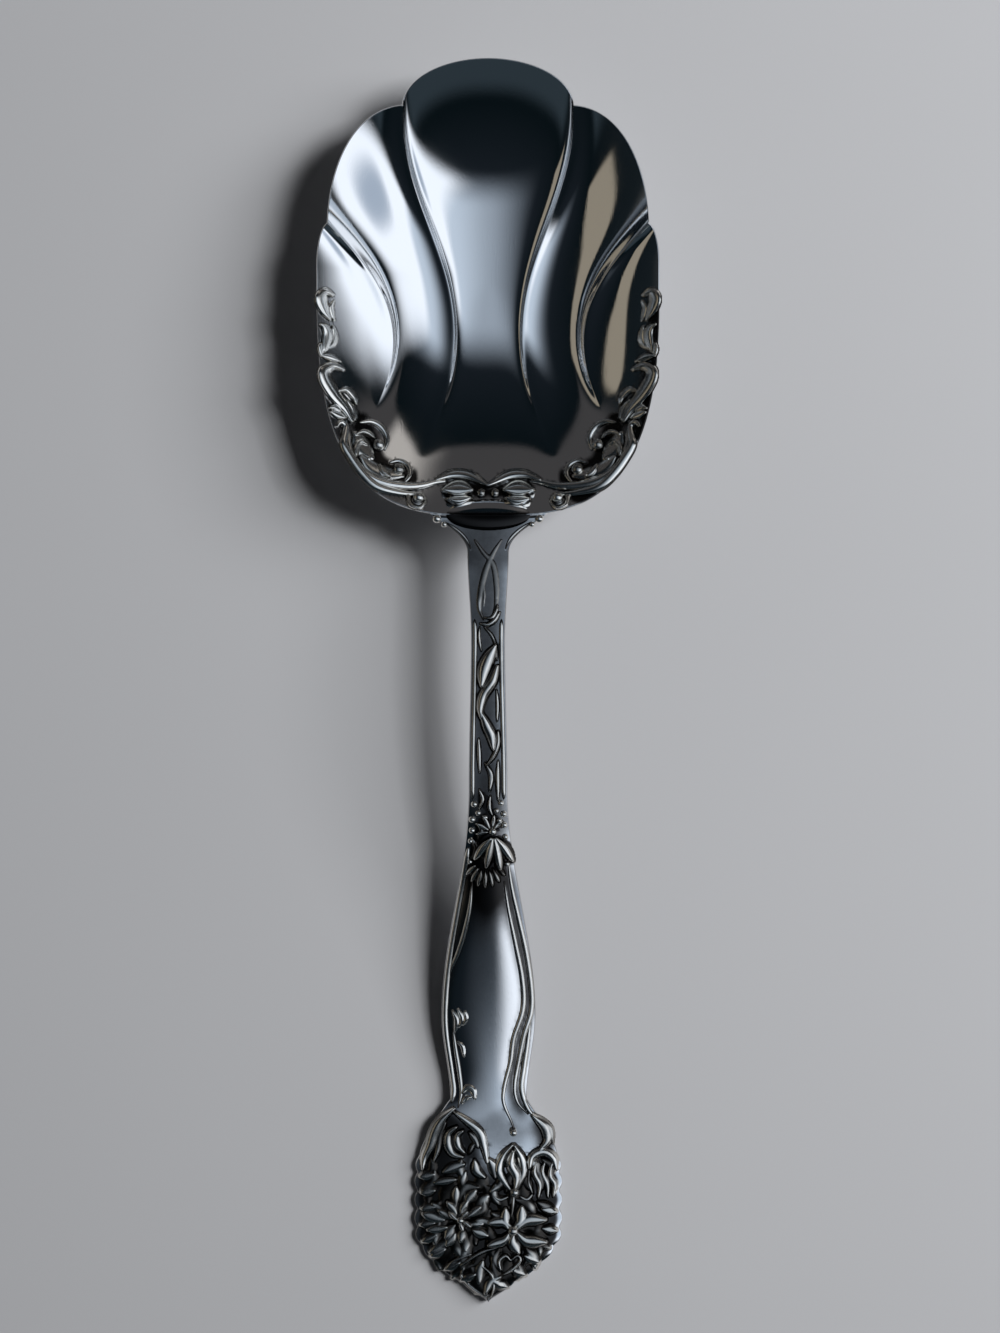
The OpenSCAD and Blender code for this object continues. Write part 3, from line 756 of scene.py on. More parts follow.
    def tarnish_and_shade(self, x: np.ndarray, y: np.ndarray) -> np.ndarray:
        """Read the darkening between the cells of its map: patina, with painted shade in places.

        Args:
            x: Plan x.
            y: Plan y.

        Returns:
            Darkening from 0 to 1, and 0 outside the map.
        """
        grid = self.mask
        fx = (x - self.xs[0]) / self.step
        fy = (y - self.ys[0]) / self.step
        known = (fx >= 0) & (fy >= 0) & (fx < len(self.xs) - 1) & (fy < len(self.ys) - 1)
        j = np.clip(fx.astype(int), 0, len(self.xs) - 2)
        i = np.clip(fy.astype(int), 0, len(self.ys) - 2)
        u, v = np.clip(fx - j, 0, 1), np.clip(fy - i, 0, 1)
        near = mix(grid[i, j], grid[i, j + 1], u)
        return np.where(known, mix(near, mix(grid[i + 1, j], grid[i + 1, j + 1], u), v), 0.0)

    def patch(self, piece: str, sunk: float = 0.05, seat: float = 0.35) -> Shell:
        """Closed mesh of a piece's relief.

        Args:
            piece: Name of the piece.
            sunk: How far the map's zero level lies under the ground.
            seat: How far the underside lies under the ground.

        Returns:
            Vertices in millimetres and quads.
        """
        rise = blur(self.heights[piece], self.smooth / self.step)
        raised = rise > self.least_rise
        ci, cj = np.nonzero(raised[:-1, :-1] | raised[1:, :-1] | raised[:-1, 1:] | raised[1:, 1:])
        wide = len(self.xs)
        corner = ci * wide + cj
        quads = np.stack([corner, corner + 1, corner + wide + 1, corner + wide], -1)
        used, index = np.unique(quads, return_inverse=True)
        quads = index.reshape(-1, 4)
        i, j = used // wide, used % wide
        x, y = self.xs[j], self.ys[i]
        base = self.ground(x, y)
        top = np.stack([x, y, base + rise[i, j] - sunk], -1)
        bottom = np.stack([x, y, base - seat], -1)
        count = len(used)
        edges = np.concatenate([quads[:, [k, (k + 1) % 4]] for k in range(4)])
        keys = edges[:, 0] * count + edges[:, 1]
        border = edges[~np.isin(keys, edges[:, 1] * count + edges[:, 0])]
        walls = np.stack([border[:, 1], border[:, 0], border[:, 0] + count, border[:, 1] + count], -1)
        return np.concatenate([top, bottom]), np.concatenate([quads, quads[:, ::-1] + count, walls])


def to_scene(name: str, data: bpy.types.ID) -> Piece:
    """Make an object and put it in the scene.

    Args:
        name: Name of the object.
        data: Its mesh, light or camera.

    Returns:
        The new object.
    """
    obj = bpy.data.objects.new(name, data)
    bpy.context.scene.collection.objects.link(obj)
    return obj


def store(mesh: bpy.types.Mesh, name: str, values: Sequence[float]) -> None:
    """Write a number for each vertex of a mesh."""
    layer = mesh.attributes.get(name) or mesh.attributes.new(name, "FLOAT", "POINT")
    layer.data.foreach_set("value", np.asarray(values, np.float32))


def new_object(name: str, verts: np.ndarray, faces: np.ndarray, tarnish_and_shade: np.ndarray) -> Piece:
    """Make a smooth mesh object in the scene.

    Args:
        name: Name of the piece.
        verts: Vertices in millimetres.
        faces: Triangles or quads.
        tarnish_and_shade: Darkening of each vertex, 0 to 1: patina, with painted shade in places.

    Returns:
        The new object.
    """
    mesh = bpy.data.meshes.new(name)
    mesh.from_pydata((verts * MM).tolist(), [], faces.tolist())
    mesh.update()
    mesh.shade_smooth()
    store(mesh, TARNISH_AND_SHADE, tarnish_and_shade)
    return to_scene(name, mesh)


def settle_piece(obj: Piece, material: Material, nodes: Sequence[str]) -> None:
    """Dress a piece and tie it to the part.

    Args:
        obj: The piece.
        material: Its finish.
        nodes: CAD nodes that the piece stands for.
    """
    obj.data.materials.clear()
    obj.data.materials.append(material)
    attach(obj, BODY)
    if nodes:
        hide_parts(*nodes)
    LOG.info("%s: %d faces", obj.name, len(obj.data.polygons))


def closed_grid(top: np.ndarray, bottom: np.ndarray, bulge: float) -> Shell:
    """Closed shell between two grids, with a rounded edge.

    Args:
        top: Upper points, rows by columns by 3, rows and columns running clockwise from above.
        bottom: Lower points of the same shape.
        bulge: How far the rounded edge stands out.

    Returns:
        Vertices and quads.
    """
    rows, columns = top.shape[:2]
    count = rows * columns
    index = np.arange(count).reshape(rows, columns)
    cell = np.stack([index[:-1, :-1], index[1:, :-1], index[1:, 1:], index[:-1, 1:]], -1).reshape(-1, 4)
    loop = np.concatenate([index[0, :-1], index[:-1, -1], index[-1, :0:-1], index[:0:-1, 0]])
    upper, lower = top.reshape(-1, 3)[loop], bottom.reshape(-1, 3)[loop]
    tangent = np.roll(upper, -1, 0)[:, :2] - np.roll(upper, 1, 0)[:, :2]
    outward = np.stack([-tangent[:, 1], tangent[:, 0]], -1)
    outward /= np.maximum(np.linalg.norm(outward, axis=1, keepdims=True), 1e-9)
    rings = [loop]
    points = [top.reshape(-1, 3), bottom.reshape(-1, 3)]
    for k, a in enumerate(np.radians([60, 30, 0, -30, -60])):
        ring = mix(lower, upper, 0.5 + 0.5 * math.sin(a))
        ring[:, :2] += bulge * math.cos(a) * outward
        points.append(ring)
        rings.append(2 * count + k * len(loop) + np.arange(len(loop)))
    rings.append(loop + count)
    walls = [np.stack([p, np.roll(p, -1), np.roll(q, -1), q], -1) for p, q in zip(rings[:-1], rings[1:])]
    return np.concatenate(points), np.concatenate([cell, cell[:, ::-1] + count, *walls])


@dataclass(frozen=True)
class Bench:
    """A node tree with short calls for adding nodes and joining them."""

    tree: bpy.types.NodeTree

    def fill(self, node: bpy.types.Node, inputs: Inputs) -> None:
        """Set a node's inputs.

        Args:
            node: The node.
            inputs: A socket to join or a value to set, for each input by its name or place.
        """
        for key, value in inputs.items():
            if isinstance(value, Socket):
                self.tree.links.new(value, node.inputs[key])
            else:
                node.inputs[key].default_value = value

    def add(self, kind: str, inputs: Inputs | None = None, **settings: object) -> bpy.types.Node:
        """Add a node.

        Args:
            kind: Blender's name of the node's type.
            inputs: What its inputs take, as in fill.
            settings: Its other properties.

        Returns:
            The new node.
        """
        node = self.tree.nodes.new(kind)
        for name, value in settings.items():
            setattr(node, name, value)
        self.fill(node, inputs or {})
        return node

    def join_all(self, sockets: Sequence[Socket], operation: str) -> Socket:
        """Fold values into one.

        Args:
            sockets: One or more values.
            operation: Sum that takes two of them, such as MULTIPLY.

        Returns:
            The result.
        """
        left = list(sockets)
        while len(left) > 1:
            pair = {0: left.pop(), 1: left.pop()}
            left.append(self.add("ShaderNodeMath", pair, operation=operation).outputs[0])
        return left[0]

    def lay(self, under: object, mask: Socket, over: object) -> Socket:
        """Blend one colour over another.

        Args:
            under: Colour where the mask is 0.
            mask: The mask.
            over: Colour where the mask is 1.

        Returns:
            The blended colour.
        """
        blend = self.add("ShaderNodeMix", data_type="RGBA")
        self.fill(blend, {"Factor": mask, "A": under, "B": over})
        return blend.outputs["Result"]


class NodeGroup:
    """A node tree with named sockets that is made once and then shared."""

    NAME: ClassVar[str]
    KIND: ClassVar[str] = "ShaderNodeTree"
    INPUTS: ClassVar[dict[str, str]]
    OUTPUTS: ClassVar[dict[str, str]]

    def wire(self, bench: Bench, given: Sockets) -> Inputs:
        """Add the group's nodes and return what its outputs take."""
        raise NotImplementedError

    def build(self) -> bpy.types.NodeTree:
        """Make the group once.

        Returns:
            The group's tree.
        """
        known = bpy.data.node_groups.get(self.NAME)
        if known:
            return known
        tree = bpy.data.node_groups.new(self.NAME, self.KIND)
        for way, sockets in (("INPUT", self.INPUTS), ("OUTPUT", self.OUTPUTS)):
            for label, kind in sockets.items():
                tree.interface.new_socket(name=label, in_out=way, socket_type=kind)
        bench = Bench(tree)
        made = self.wire(bench, bench.add("NodeGroupInput").outputs)
        bench.add("NodeGroupOutput", made)
        return tree


@dataclass(frozen=True)
class PatinaAndShadeGroup(NodeGroup):
    """Shader group that turns the darkening attribute, patina with painted shade in places, into colour and
    roughness.
    """

    NAME = "silver_patina_and_shade"
    INPUTS = {"Bright": COLOUR, "Dark": COLOUR, "Strength": FLOAT, "Gloss": FLOAT, "Dull": FLOAT}
    OUTPUTS = {"Color": COLOUR, "Roughness": FLOAT}

    breakup_scale: float = 900.0
    breakup: float = 0.06
    dark_from: float = 0.08
    dark_full: float = 0.70

    def wire(self, bench: Bench, given: Sockets) -> Inputs:
        """Add the group's nodes.

        Args:
            bench: The new tree.
            given: The group's inputs.

        Returns:
            What its outputs take.
        """
        coords = bench.add("ShaderNodeTexCoord").outputs["Object"]
        worn = bench.add("ShaderNodeAttribute", attribute_name=TARNISH_AND_SHADE).outputs["Fac"]
        noise = bench.add("ShaderNodeTexNoise", {"Vector": coords, "Detail": 3.0})
        bench.fill(noise, {"Scale": self.breakup_scale})
        ragged = bench.add("ShaderNodeMath", operation="MULTIPLY_ADD")
        bench.fill(ragged, {0: noise.outputs["Fac"], 1: self.breakup, 2: -0.5 * self.breakup})
        total = bench.join_all([ragged.outputs[0], worn], "ADD")
        step = bench.add("ShaderNodeMapRange", interpolation_type="SMOOTHSTEP")
        bench.fill(step, {"Value": total, "From Min": self.dark_from, "From Max": self.dark_full})
        amount = bench.join_all([given["Strength"], step.outputs["Result"]], "MULTIPLY")
        rough = bench.add("ShaderNodeMix", {"Factor": amount, "A": given["Gloss"], "B": given["Dull"]})
        colour = bench.lay(given["Bright"], amount, given["Dark"])
        return {"Color": colour, "Roughness": rough.outputs["Result"]}


@dataclass(frozen=True)
class HandlingGroup(NodeGroup):
    """Shader group for the fine scratches and smudges of a used polished surface."""

    NAME = "handling_marks"
    INPUTS = {"Scratch Scale": FLOAT}
    OUTPUTS = {"Height": FLOAT, "Smudge": FLOAT}

    scratches: Path = ((0.10, 0.03), (-0.55, 0.05), (1.15, 0.06))
    line_from: float = 0.62
    line_full: float = 0.74
    smudge_scale: float = 70.0

    def wire(self, bench: Bench, given: Sockets) -> Inputs:
        """Add the group's nodes: a stretched noise for each way in which scratches run, and a broad one.

        Args:
            bench: The new tree.
            given: The group's inputs.

        Returns:
            What its outputs take.
        """
        coords = bench.add("ShaderNodeTexCoord").outputs["Object"]
        heights = []
        for turn, stretch in self.scratches:
            place = bench.add("ShaderNodeMapping", {"Vector": coords, "Rotation": (0.0, 0.0, turn)})
            bench.fill(place, {"Scale": (1.0, stretch, 1.0)})
            noise = bench.add("ShaderNodeTexNoise", {"Vector": place.outputs["Vector"], "Detail": 2.0})
            bench.fill(noise, {"Scale": given["Scratch Scale"]})
            line = bench.add("ShaderNodeMapRange", {"From Min": self.line_from, "From Max": self.line_full})
            bench.fill(line, {"Value": noise.outputs["Fac"]})
            heights.append(line.outputs["Result"])
        smudge = bench.add("ShaderNodeTexNoise", {"Vector": coords, "Detail": 5.0})
        bench.fill(smudge, {"Scale": self.smudge_scale})
        return {"Height": bench.join_all(heights, "MAXIMUM"), "Smudge": smudge.outputs["Fac"]}


@dataclass(frozen=True)
class SilverFinish:
    """Silver plate with patina in its recesses, darkened also where the attribute carries painted shade."""

    name: str
    bright: Tone = (0.86, 0.86, 0.86)
    dark: Tone = (0.034, 0.032, 0.031)
    gloss: float = 0.08
    dull: float = 0.38
    patina: float = 1.0
    smudge_range: Point = (0.35, 0.70)
    smudge_gloss: Point = (0.75, 1.5)
    scratch_scale: float = 2600.0
    scratch_depth: float = 0.012

    def build(self) -> Material:
        """Make the material.

        Returns:
            A metal whose colour and roughness follow the darkening attribute.
        """
        material = bpy.data.materials.new(self.name)
        material.use_nodes = True
        bench = Bench(material.node_tree)
        marks = bench.add("ShaderNodeGroup", node_tree=HandlingGroup().build())
        bench.fill(marks, {"Scratch Scale": self.scratch_scale})
        gloss = bench.add("ShaderNodeMapRange", {"Value": marks.outputs["Smudge"]})
        for end, place, share in zip(("Min", "Max"), self.smudge_range, self.smudge_gloss):
            bench.fill(gloss, {f"From {end}": place, f"To {end}": share * self.gloss})
        patina = bench.add("ShaderNodeGroup", node_tree=PatinaAndShadeGroup().build())
        bench.fill(patina, {"Bright": (*self.bright, 1.0), "Dark": (*self.dark, 1.0)})
        bench.fill(patina, {"Strength": self.patina, "Gloss": gloss.outputs["Result"], "Dull": self.dull})
        bump = bench.add("ShaderNodeBump", {"Strength": self.scratch_depth, "Distance": 0.0002})
        bench.fill(bump, {"Height": marks.outputs["Height"]})
        shader = bench.tree.nodes["Principled BSDF"]
        bench.fill(shader, {"Metallic": 1.0, "Base Color": patina.outputs["Color"]})
        bench.fill(shader, {"Roughness": patina.outputs["Roughness"], "Normal": bump.outputs["Normal"]})
        return material


class GeometryTool(NodeGroup):
    """Geometry Nodes tree that turns points or lines with a girth into a dressed mesh."""

    KIND = "GeometryNodeTree"
    INPUTS = {"Geometry": GEOMETRY, "Size": FLOAT, "Material": MATERIAL}
    OUTPUTS = {"Geometry": GEOMETRY}

    def girth(self, bench: Bench, given: Sockets) -> Socket:
        """Girth of each point in metres: the stored one times the tree's size."""
        stored = bench.add("GeometryNodeInputNamedAttribute", {"Name": GIRTH}, data_type="FLOAT")
        return bench.join_all([given["Size"], stored.outputs["Attribute"]], "MULTIPLY")

    def dress(self, bench: Bench, shape: Socket, given: Sockets) -> Inputs:
        """End the tree: smooth and real geometry with its material.

        Args:
            bench: The tree.
            shape: Geometry to dress.
            given: The tree's inputs.

        Returns:
            What the tree's output takes.
        """
        for kind in ("GeometryNodeSetShadeSmooth", "GeometryNodeRealizeInstances"):
            shape = bench.add(kind, {"Geometry": shape}).outputs["Geometry"]
        dress = bench.add("GeometryNodeSetMaterial", {"Geometry": shape, "Material": given["Material"]})
        return {"Geometry": dress.outputs["Geometry"]}

    def run(self, name: str, source: bpy.types.Mesh, girths: Sequence[float], material: Material) -> Piece:
        """Run the tree and keep its result as a plain mesh.

        Args:
            name: Name of the new piece.
            source: Points or lines to work on, which are used up.
            girths: Girth at each of their points, in millimetres.
            material: Finish set by the tree.

        Returns:
            Object at the origin that holds the result.
        """
        store(source, GIRTH, girths)
        tree, values = self.build(), {"Size": MM, "Material": material}
        holder = to_scene(name + "_source", source)
        modifier = holder.modifiers.new("nodes", "NODES")
        modifier.node_group = tree
        for item in tree.interface.items_tree:
            if item.item_type == "SOCKET" and item.in_out == "INPUT" and item.name in values:
                modifier[item.identifier] = values[item.name]
        graph = bpy.context.evaluated_depsgraph_get()
        result = bpy.data.meshes.new_from_object(holder.evaluated_get(graph))
        result.name = name
        holder.modifiers.remove(modifier)
        bpy.data.objects.remove(holder)
        bpy.data.meshes.remove(source)
        return to_scene(name, result)


@dataclass(frozen=True)
class SweepTool(GeometryTool):
    """Geometry Nodes tree that sweeps a round moulding along the edges of a line mesh."""

    NAME = "swept_moulding"

    sides: int = 14
    pitch: float = 0.35

    def wire(self, bench: Bench, given: Sockets) -> Inputs:
        """Add the tree's nodes.

        Args:
            bench: The new tree.
            given: The tree's inputs.

        Returns:
            What its output takes.
        """
        curve = bench.add("GeometryNodeMeshToCurve", {"Mesh": given["Geometry"]})
        circle = bench.add("GeometryNodeCurvePrimitiveCircle", {"Resolution": self.sides, "Radius": 1.0})
        sweep = bench.add("GeometryNodeCurveToMesh", {"Curve": curve.outputs["Curve"], "Fill Caps": True})
        bench.fill(sweep, {"Profile Curve": circle.outputs["Curve"], "Scale": self.girth(bench, given)})
        return self.dress(bench, sweep.outputs["Mesh"], given)

    def sweep(
        self, name: str, strokes: Sequence[Stroke], ground: Ground, material: Material, lift: float
    ) -> Piece:
        """Sweep strokes over a ground.

        Args:
            name: Name of the piece.
            strokes: Paths with their widths.
            ground: Surface that carries them.
            material: Finish set by the tree.
            lift: Height of the moulding's middle over the ground, as a share of its radius.

        Returns:
            A plain mesh object.
        """
        verts, edges, girths = [], [], []
        for stroke in strokes:
            length = np.linalg.norm(np.diff(stroke.path(20), axis=0), axis=1).sum()
            count = max(16, int(length / self.pitch))
            path = stroke.path(count)
            girth = np.maximum(stroke.half(np.linspace(0, 1, count)), 0.05)
            start = len(verts)
            z = ground(path[:, 0], path[:, 1]) + lift * girth
            verts.extend(np.column_stack([path, z]).tolist())
            edges.extend([(start + i, start + i + 1) for i in range(count - 1)])
            girths.extend(girth.tolist())
        mesh = bpy.data.meshes.new(name + "_lines")
        mesh.from_pydata((np.array(verts) * MM).tolist(), edges, [])
        return self.run(name, mesh, girths, material)


@dataclass(frozen=True)
class BeadTool(GeometryTool):
    """Geometry Nodes tree that sets a round bead on every point of a mesh."""

    NAME = "set_beads"

    subdivisions: int = 3
    lift: float = 0.25

    def wire(self, bench: Bench, given: Sockets) -> Inputs:
        """Add the tree's nodes.

        Args:
            bench: The new tree.
            given: The tree's inputs.

        Returns:
            What its output takes.
        """
        ball = bench.add("GeometryNodeMeshIcoSphere", {"Radius": 1.0, "Subdivisions": self.subdivisions})
        place = bench.add("GeometryNodeInstanceOnPoints", {"Points": given["Geometry"]})
        bench.fill(place, {"Instance": ball.outputs["Mesh"], "Scale": self.girth(bench, given)})
        return self.dress(bench, place.outputs["Instances"], given)

    def beads(self, name: str, places: Sequence[BeadPlace], ground: Ground, material: Material) -> Piece:
        """Set beads on a ground.

        Args:
            name: Name of the piece.
            places: Plan x, plan y and radius of each bead.
            ground: Surface that carries them.
            material: Finish set by the tree.

        Returns:
            A plain mesh object.
        """
        p = np.array(places, float)
        z = ground(p[:, 0], p[:, 1]) + self.lift * p[:, 2]
        mesh = bpy.data.meshes.new(name + "_points")
        mesh.from_pydata((np.column_stack([p[:, :2], z]) * MM).tolist(), [], [])
        return self.run(name, mesh, p[:, 2], material)


def shade_by_field(obj: Piece, relief: ReliefField, lift: float, all_over: float = 0.0) -> None:
    """Give a swept or beaded piece the darkening of the field around it, with painted shade at its foot.

    Args:
        obj: The piece.
        relief: Field of the carrier.
        lift: Height over the ground over which the painted shade at the foot fades out.
        all_over: Darkening that covers the whole piece; a negative value brightens it.
    """
    co = np.empty(len(obj.data.vertices) * 3)
    obj.data.vertices.foreach_get("co", co)
    x, y, z = (co.reshape(-1, 3) / MM).T
    # Painted shade at the foot of each bead and moulding, where it meets the ground.
    foot = 1.0 - ease((z - relief.ground(x, y) - 0.05) / max(lift, 0.25))
    store(obj.data, TARNISH_AND_SHADE, np.clip(all_over + relief.tarnish_and_shade(x, y) * 0.5 + foot * 0.9, 0, 1))


@dataclass
class Bowl:
    """The bowl's shell."""

    form: BowlForm
    rows: int = 140
    columns: tuple[int, int, int] = (34, 60, 34)
    lip: float = 0.3
    skin: float = 0.6

    def mesh(self) -> Shell:
        """Make the closed shell, with its lines closer together at the crests and rims.

        Returns:
            Vertices and quads.
        """
        u = 0.5 - 0.5 * np.cos(np.pi * np.linspace(0, 1, self.rows + 1))
        parts = []
        for lobe, count in enumerate(self.columns):
            i = np.arange(0 if lobe == 0 else 1, count + 1) / count
            s = 0.5 + 0.5 * np.sin(0.5 * np.pi * i) if lobe == 0 else 0.5 - 0.5 * np.cos(np.pi * i)
            parts.append(self.form.lobed(lobe, *np.meshgrid(u, s, indexing="ij")))
        right = np.concatenate(parts, axis=1)
        inside = np.concatenate([right[:, :0:-1] * [-1, 1, 1], right], axis=1)
        outside = inside.copy()
        outside[..., 2] = np.maximum(0.0, inside[..., 2] - self.form.wall)
        return closed_grid(inside, outside, self.lip)

    def build(self, relief: ReliefField, material: Material) -> None:
        """Make and dress the bowl.

        Args:
            relief: Field of its relief, whose patina and painted shade darken the upper side.
            material: Its finish.
        """
        verts, faces = self.mesh()
        over = verts[:, 2] > self.form.inside(verts[:, 0], verts[:, 1]) - self.skin
        tarnish_and_shade = np.where(over, relief.tarnish_and_shade(verts[:, 0], verts[:, 1]), 0.0)
        obj = new_object("bowl_shell", verts, faces, tarnish_and_shade)
        settle_piece(obj, material, ["bowl"])


@dataclass
class Handle:
    """The handle's bar, from the tip to the tongue under the heel."""

    form: HandleForm
    bowl: BowlForm
    columns: int = 44
    rows: tuple[int, int, int] = (170, 190, 24)
    tongue_rows: int = 14
    bulge: float = 0.22
    seat_gap: float = 0.05
    drop_length: float = 15.0
    drop_width: float = 12.0
    thin_edge: float = 0.7
    skin: float = 0.8

    def tongue(self, across: np.ndarray, t: float) -> tuple[np.ndarray, np.ndarray]:
        """One row of the tongue under the bowl.

        Args:
            across: Places across, from -1 to 1.
            t: Share of the way from the heel to the tongue's end.

        Returns:
            Upper and lower points.
        """
        x = across * (self.drop_width / 2 * mix(1.0, 0.12, t * t))
        heel = self.bowl.heel_rim_y(x)
        y = heel + 0.02 - self.seat_gap + t * self.drop_length
        upper = np.maximum(0.0, self.bowl.inside(x, np.maximum(y, heel)) - self.bowl.wall) - self.seat_gap
        deep = (self.form.thick[0] - self.bowl.wall) * mix(1.0, 0.35, t)
        lower = np.maximum(0.3, upper - deep * mix(1.0, 0.4, across**2))
        return np.stack([x, y, upper], -1), np.stack([x, y, lower], -1)

    def mesh(self) -> Shell:
        """Make the closed bar: the handle's length, the row that meets the rim, and the tongue.

        Returns:
            Vertices and quads.
        """
        f = self.form
        across = np.sin(np.linspace(-0.5 * np.pi, 0.5 * np.pi, self.columns + 1))
        terminal, shaft, shoulder = self.rows
        ys = np.concatenate([
            np.linspace(f.tip_y + 0.12, f.waist_y, terminal, endpoint=False),
            np.linspace(f.waist_y, f.neck_y, shaft, endpoint=False),
            np.linspace(f.neck_y, f.heel_y - 1, shoulder),
        ])
        y, a = np.meshgrid(ys, across, indexing="ij")
        x = a * f.half_width(y)
        top = f.top(x, y)
        low = np.maximum(0.0, top - f.thickness(y) * mix(1.0, self.thin_edge, a**4))
        sx = across * f.widths[0] / 2
        sy = self.bowl.heel_rim_y(sx) - self.seat_gap
        seat_top = f.top(sx, np.full_like(sx, f.heel_y))
        seat_low = f.rim_top - f.thick[0] * mix(1.0, self.thin_edge, across**4)
        rows_top = [np.stack([x, y, top], -1), np.stack([sx, sy, seat_top], -1)[None]]
        rows_low = [np.stack([x, y, low], -1), np.stack([sx, sy, seat_low], -1)[None]]
        for t in np.linspace(0, 1, self.tongue_rows):
            upper, lower = self.tongue(across, t)
            rows_top.append(upper[None])
            rows_low.append(lower[None])
        return closed_grid(np.concatenate(rows_top)[::-1], np.concatenate(rows_low)[::-1], self.bulge)

    def build(self, relief: ReliefField, material: Material) -> None:
        """Make and dress the handle.

        Args:
            relief: Field of its relief, whose patina and painted shade darken the upper side.
            material: Its finish.
        """
        verts, faces = self.mesh()
        x, y, z = verts.T
        over = z > self.form.top(x, y) - self.skin
        tarnish_and_shade = np.where(over & (y < self.form.heel_y - 0.1), relief.tarnish_and_shade(x, y), 0.0)
        obj = new_object("handle_bar", verts, faces, tarnish_and_shade)
        settle_piece(obj, material, ["handle"])


@dataclass
class Border:
    """Scroll border round the bowl's heel, drawn on the left half."""

    form: BowlForm
    out: float = 0.6
    # Painted shade along the rim between the leaves, darker on the right.
    left_rim_shade: float = 0.5
    right_rim_shade: float = 0.9

    def hug(self, stroke: Stroke) -> Stroke:
        """Keep a stroke near the rim, standing a little over it.

        Args:
            stroke: Stroke as drawn.

        Returns:
            The stroke with its points moved.
        """
        moved = []
        for x, y in stroke.points:
            angle = math.degrees(math.atan2(self.form.wide_y - y, abs(x)))
            reach = math.hypot(x, self.form.wide_y - y)
            inset = max(float(self.form.rim_radius(angle)) - reach - self.out, 0.26 * stroke.width)
            p = self.form.rim(angle, inset)
            moved.append((math.copysign(float(p[0]), x), float(p[1])))
        return replace(stroke, points=tuple(moved))

    def leaves(self) -> list[Stroke]:
        """Leaf strokes, with low cushions under the scroll and a tail at its lower end."""
        leaves = [
            rib(2.2, 1.0, (-27.5, 71.4), (-28.7, 71.7), (-29.4, 70.3), (-28.8, 68.3), (-28.0, 67.0)),
            rib(1.0, 0.6, (-27.2, 70.4), (-27.7, 69.2), (-27.5, 67.8), (-27.2, 66.9)),
            rib(2.0, 1.0, (-29.8, 65.7), (-28.6, 65.3), (-28.2, 64.0), (-28.8, 61.2)),
            rib(1.2, 0.8, (-27.4, 65.8), (-27.1, 64.2), (-27.4, 62.7), (-28.4, 61.6)),
            rib(1.2, 0.9, (-30.4, 62.1), (-30.6, 60.8), (-30.5, 59.5)),
            rib(1.5, 0.8, (-29.5, 60.1), (-27.9, 60.2), (-26.3, 59.7)),
            rib(2.5, 1.2, (-25.8, 58.3), (-27.4, 58.7), (-28.9, 57.6), (-28.6, 55.9), (-27.0, 53.3),
                (-25.1, 51.0), (-24.1, 48.9)),
            rib(1.4, 1.0, (-26.3, 54.3), (-25.0, 54.6), (-23.8, 53.4), (-23.5, 52.3)),
            rib(1.2, 0.9, (-25.0, 52.7), (-24.0, 51.3), (-23.6, 49.8), (-24.0, 48.8)),
            rib(1.3, 0.9, (-28.2, 50.8), (-27.1, 51.2), (-26.1, 50.6)),
            rib(1.6, 0.8, (-28.4, 49.7), (-27.0, 50.1), (-25.3, 49.4)),
            rib(1.2, 1.1, (-23.3, 46.6), (-22.2, 47.2), (-21.1, 46.9), (-20.3, 46.1)),
            rib(1.1, 1.0, (-23.3, 42.6), (-23.4, 44.2), (-22.5, 45.3), (-21.5, 44.8)),
            rib(1.2, 1.1, (-19.3, 41.3), (-18.6, 40.0), (-17.5, 39.0)),
            dome(3.6, 0.6, (-23.6, 46.8), (-21.9, 44.0), (-20.6, 42.4)),
            dome(3.2, 0.6, (-22.4, 42.4), (-20.2, 40.5), (-17.6, 39.6), (-15.2, 39.2)),
            Stroke(((-14.2, 35.5), (-13.8, 33.9), (-12.2, 33.3), (-11.1, 34.4), (-11.6, 35.9)), 1.0, 0.8,
                   taper=Taper.TAIL),
        ]
        return [self.hug(s) for s in leaves]

    def rails(self) -> list[Stroke]:
        """Swept rails and volutes."""
        rails = [
            rib(2.0, 1.0, (-26.9, 47.6), (-26.3, 48.6), (-25.3, 48.0), (-25.4, 46.3), (-25.8, 44.3),
                (-25.0, 41.7), (-22.7, 38.8), (-19.8, 37.0), (-16.0, 36.0), (-12.8, 35.8)),
            rib(1.9, 1.0, (-24.6, 46.6), (-24.7, 44.6), (-23.8, 41.7), (-21.5, 39.1), (-18.6, 37.7),
                (-14.9, 37.2), (-12.0, 37.4), (-9.4, 38.1), (-7.7, 38.3)),
            rib(1.4, 1.1, (-23.5, 42.3), (-22.4, 40.1), (-20.1, 38.7), (-17.2, 38.4)),
            rib(1.3, 0.8, (-22.9, 48.8), (-20.9, 49.1), (-19.1, 48.1), (-18.1, 46.1), (-18.5, 43.9)),
            rib(1.2, 0.9, (-17.6, 41.6), (-16.0, 42.0), (-14.4, 41.1), (-14.0, 39.4), (-15.0, 37.8)),
        ]
        return [self.hug(s) for s in rails]

    def darkened_ground(self, rim: float) -> list[Stroke]:
        """Broad strokes of painted shade over the border's ground: round the lower scroll, along the rim
        between the leaves and over the heel's bosses.

        Args:
            rim: Painted shade along the rim, 0 to 1.

        Returns:
            Strokes whose heights are shares of full painted shade.
        """
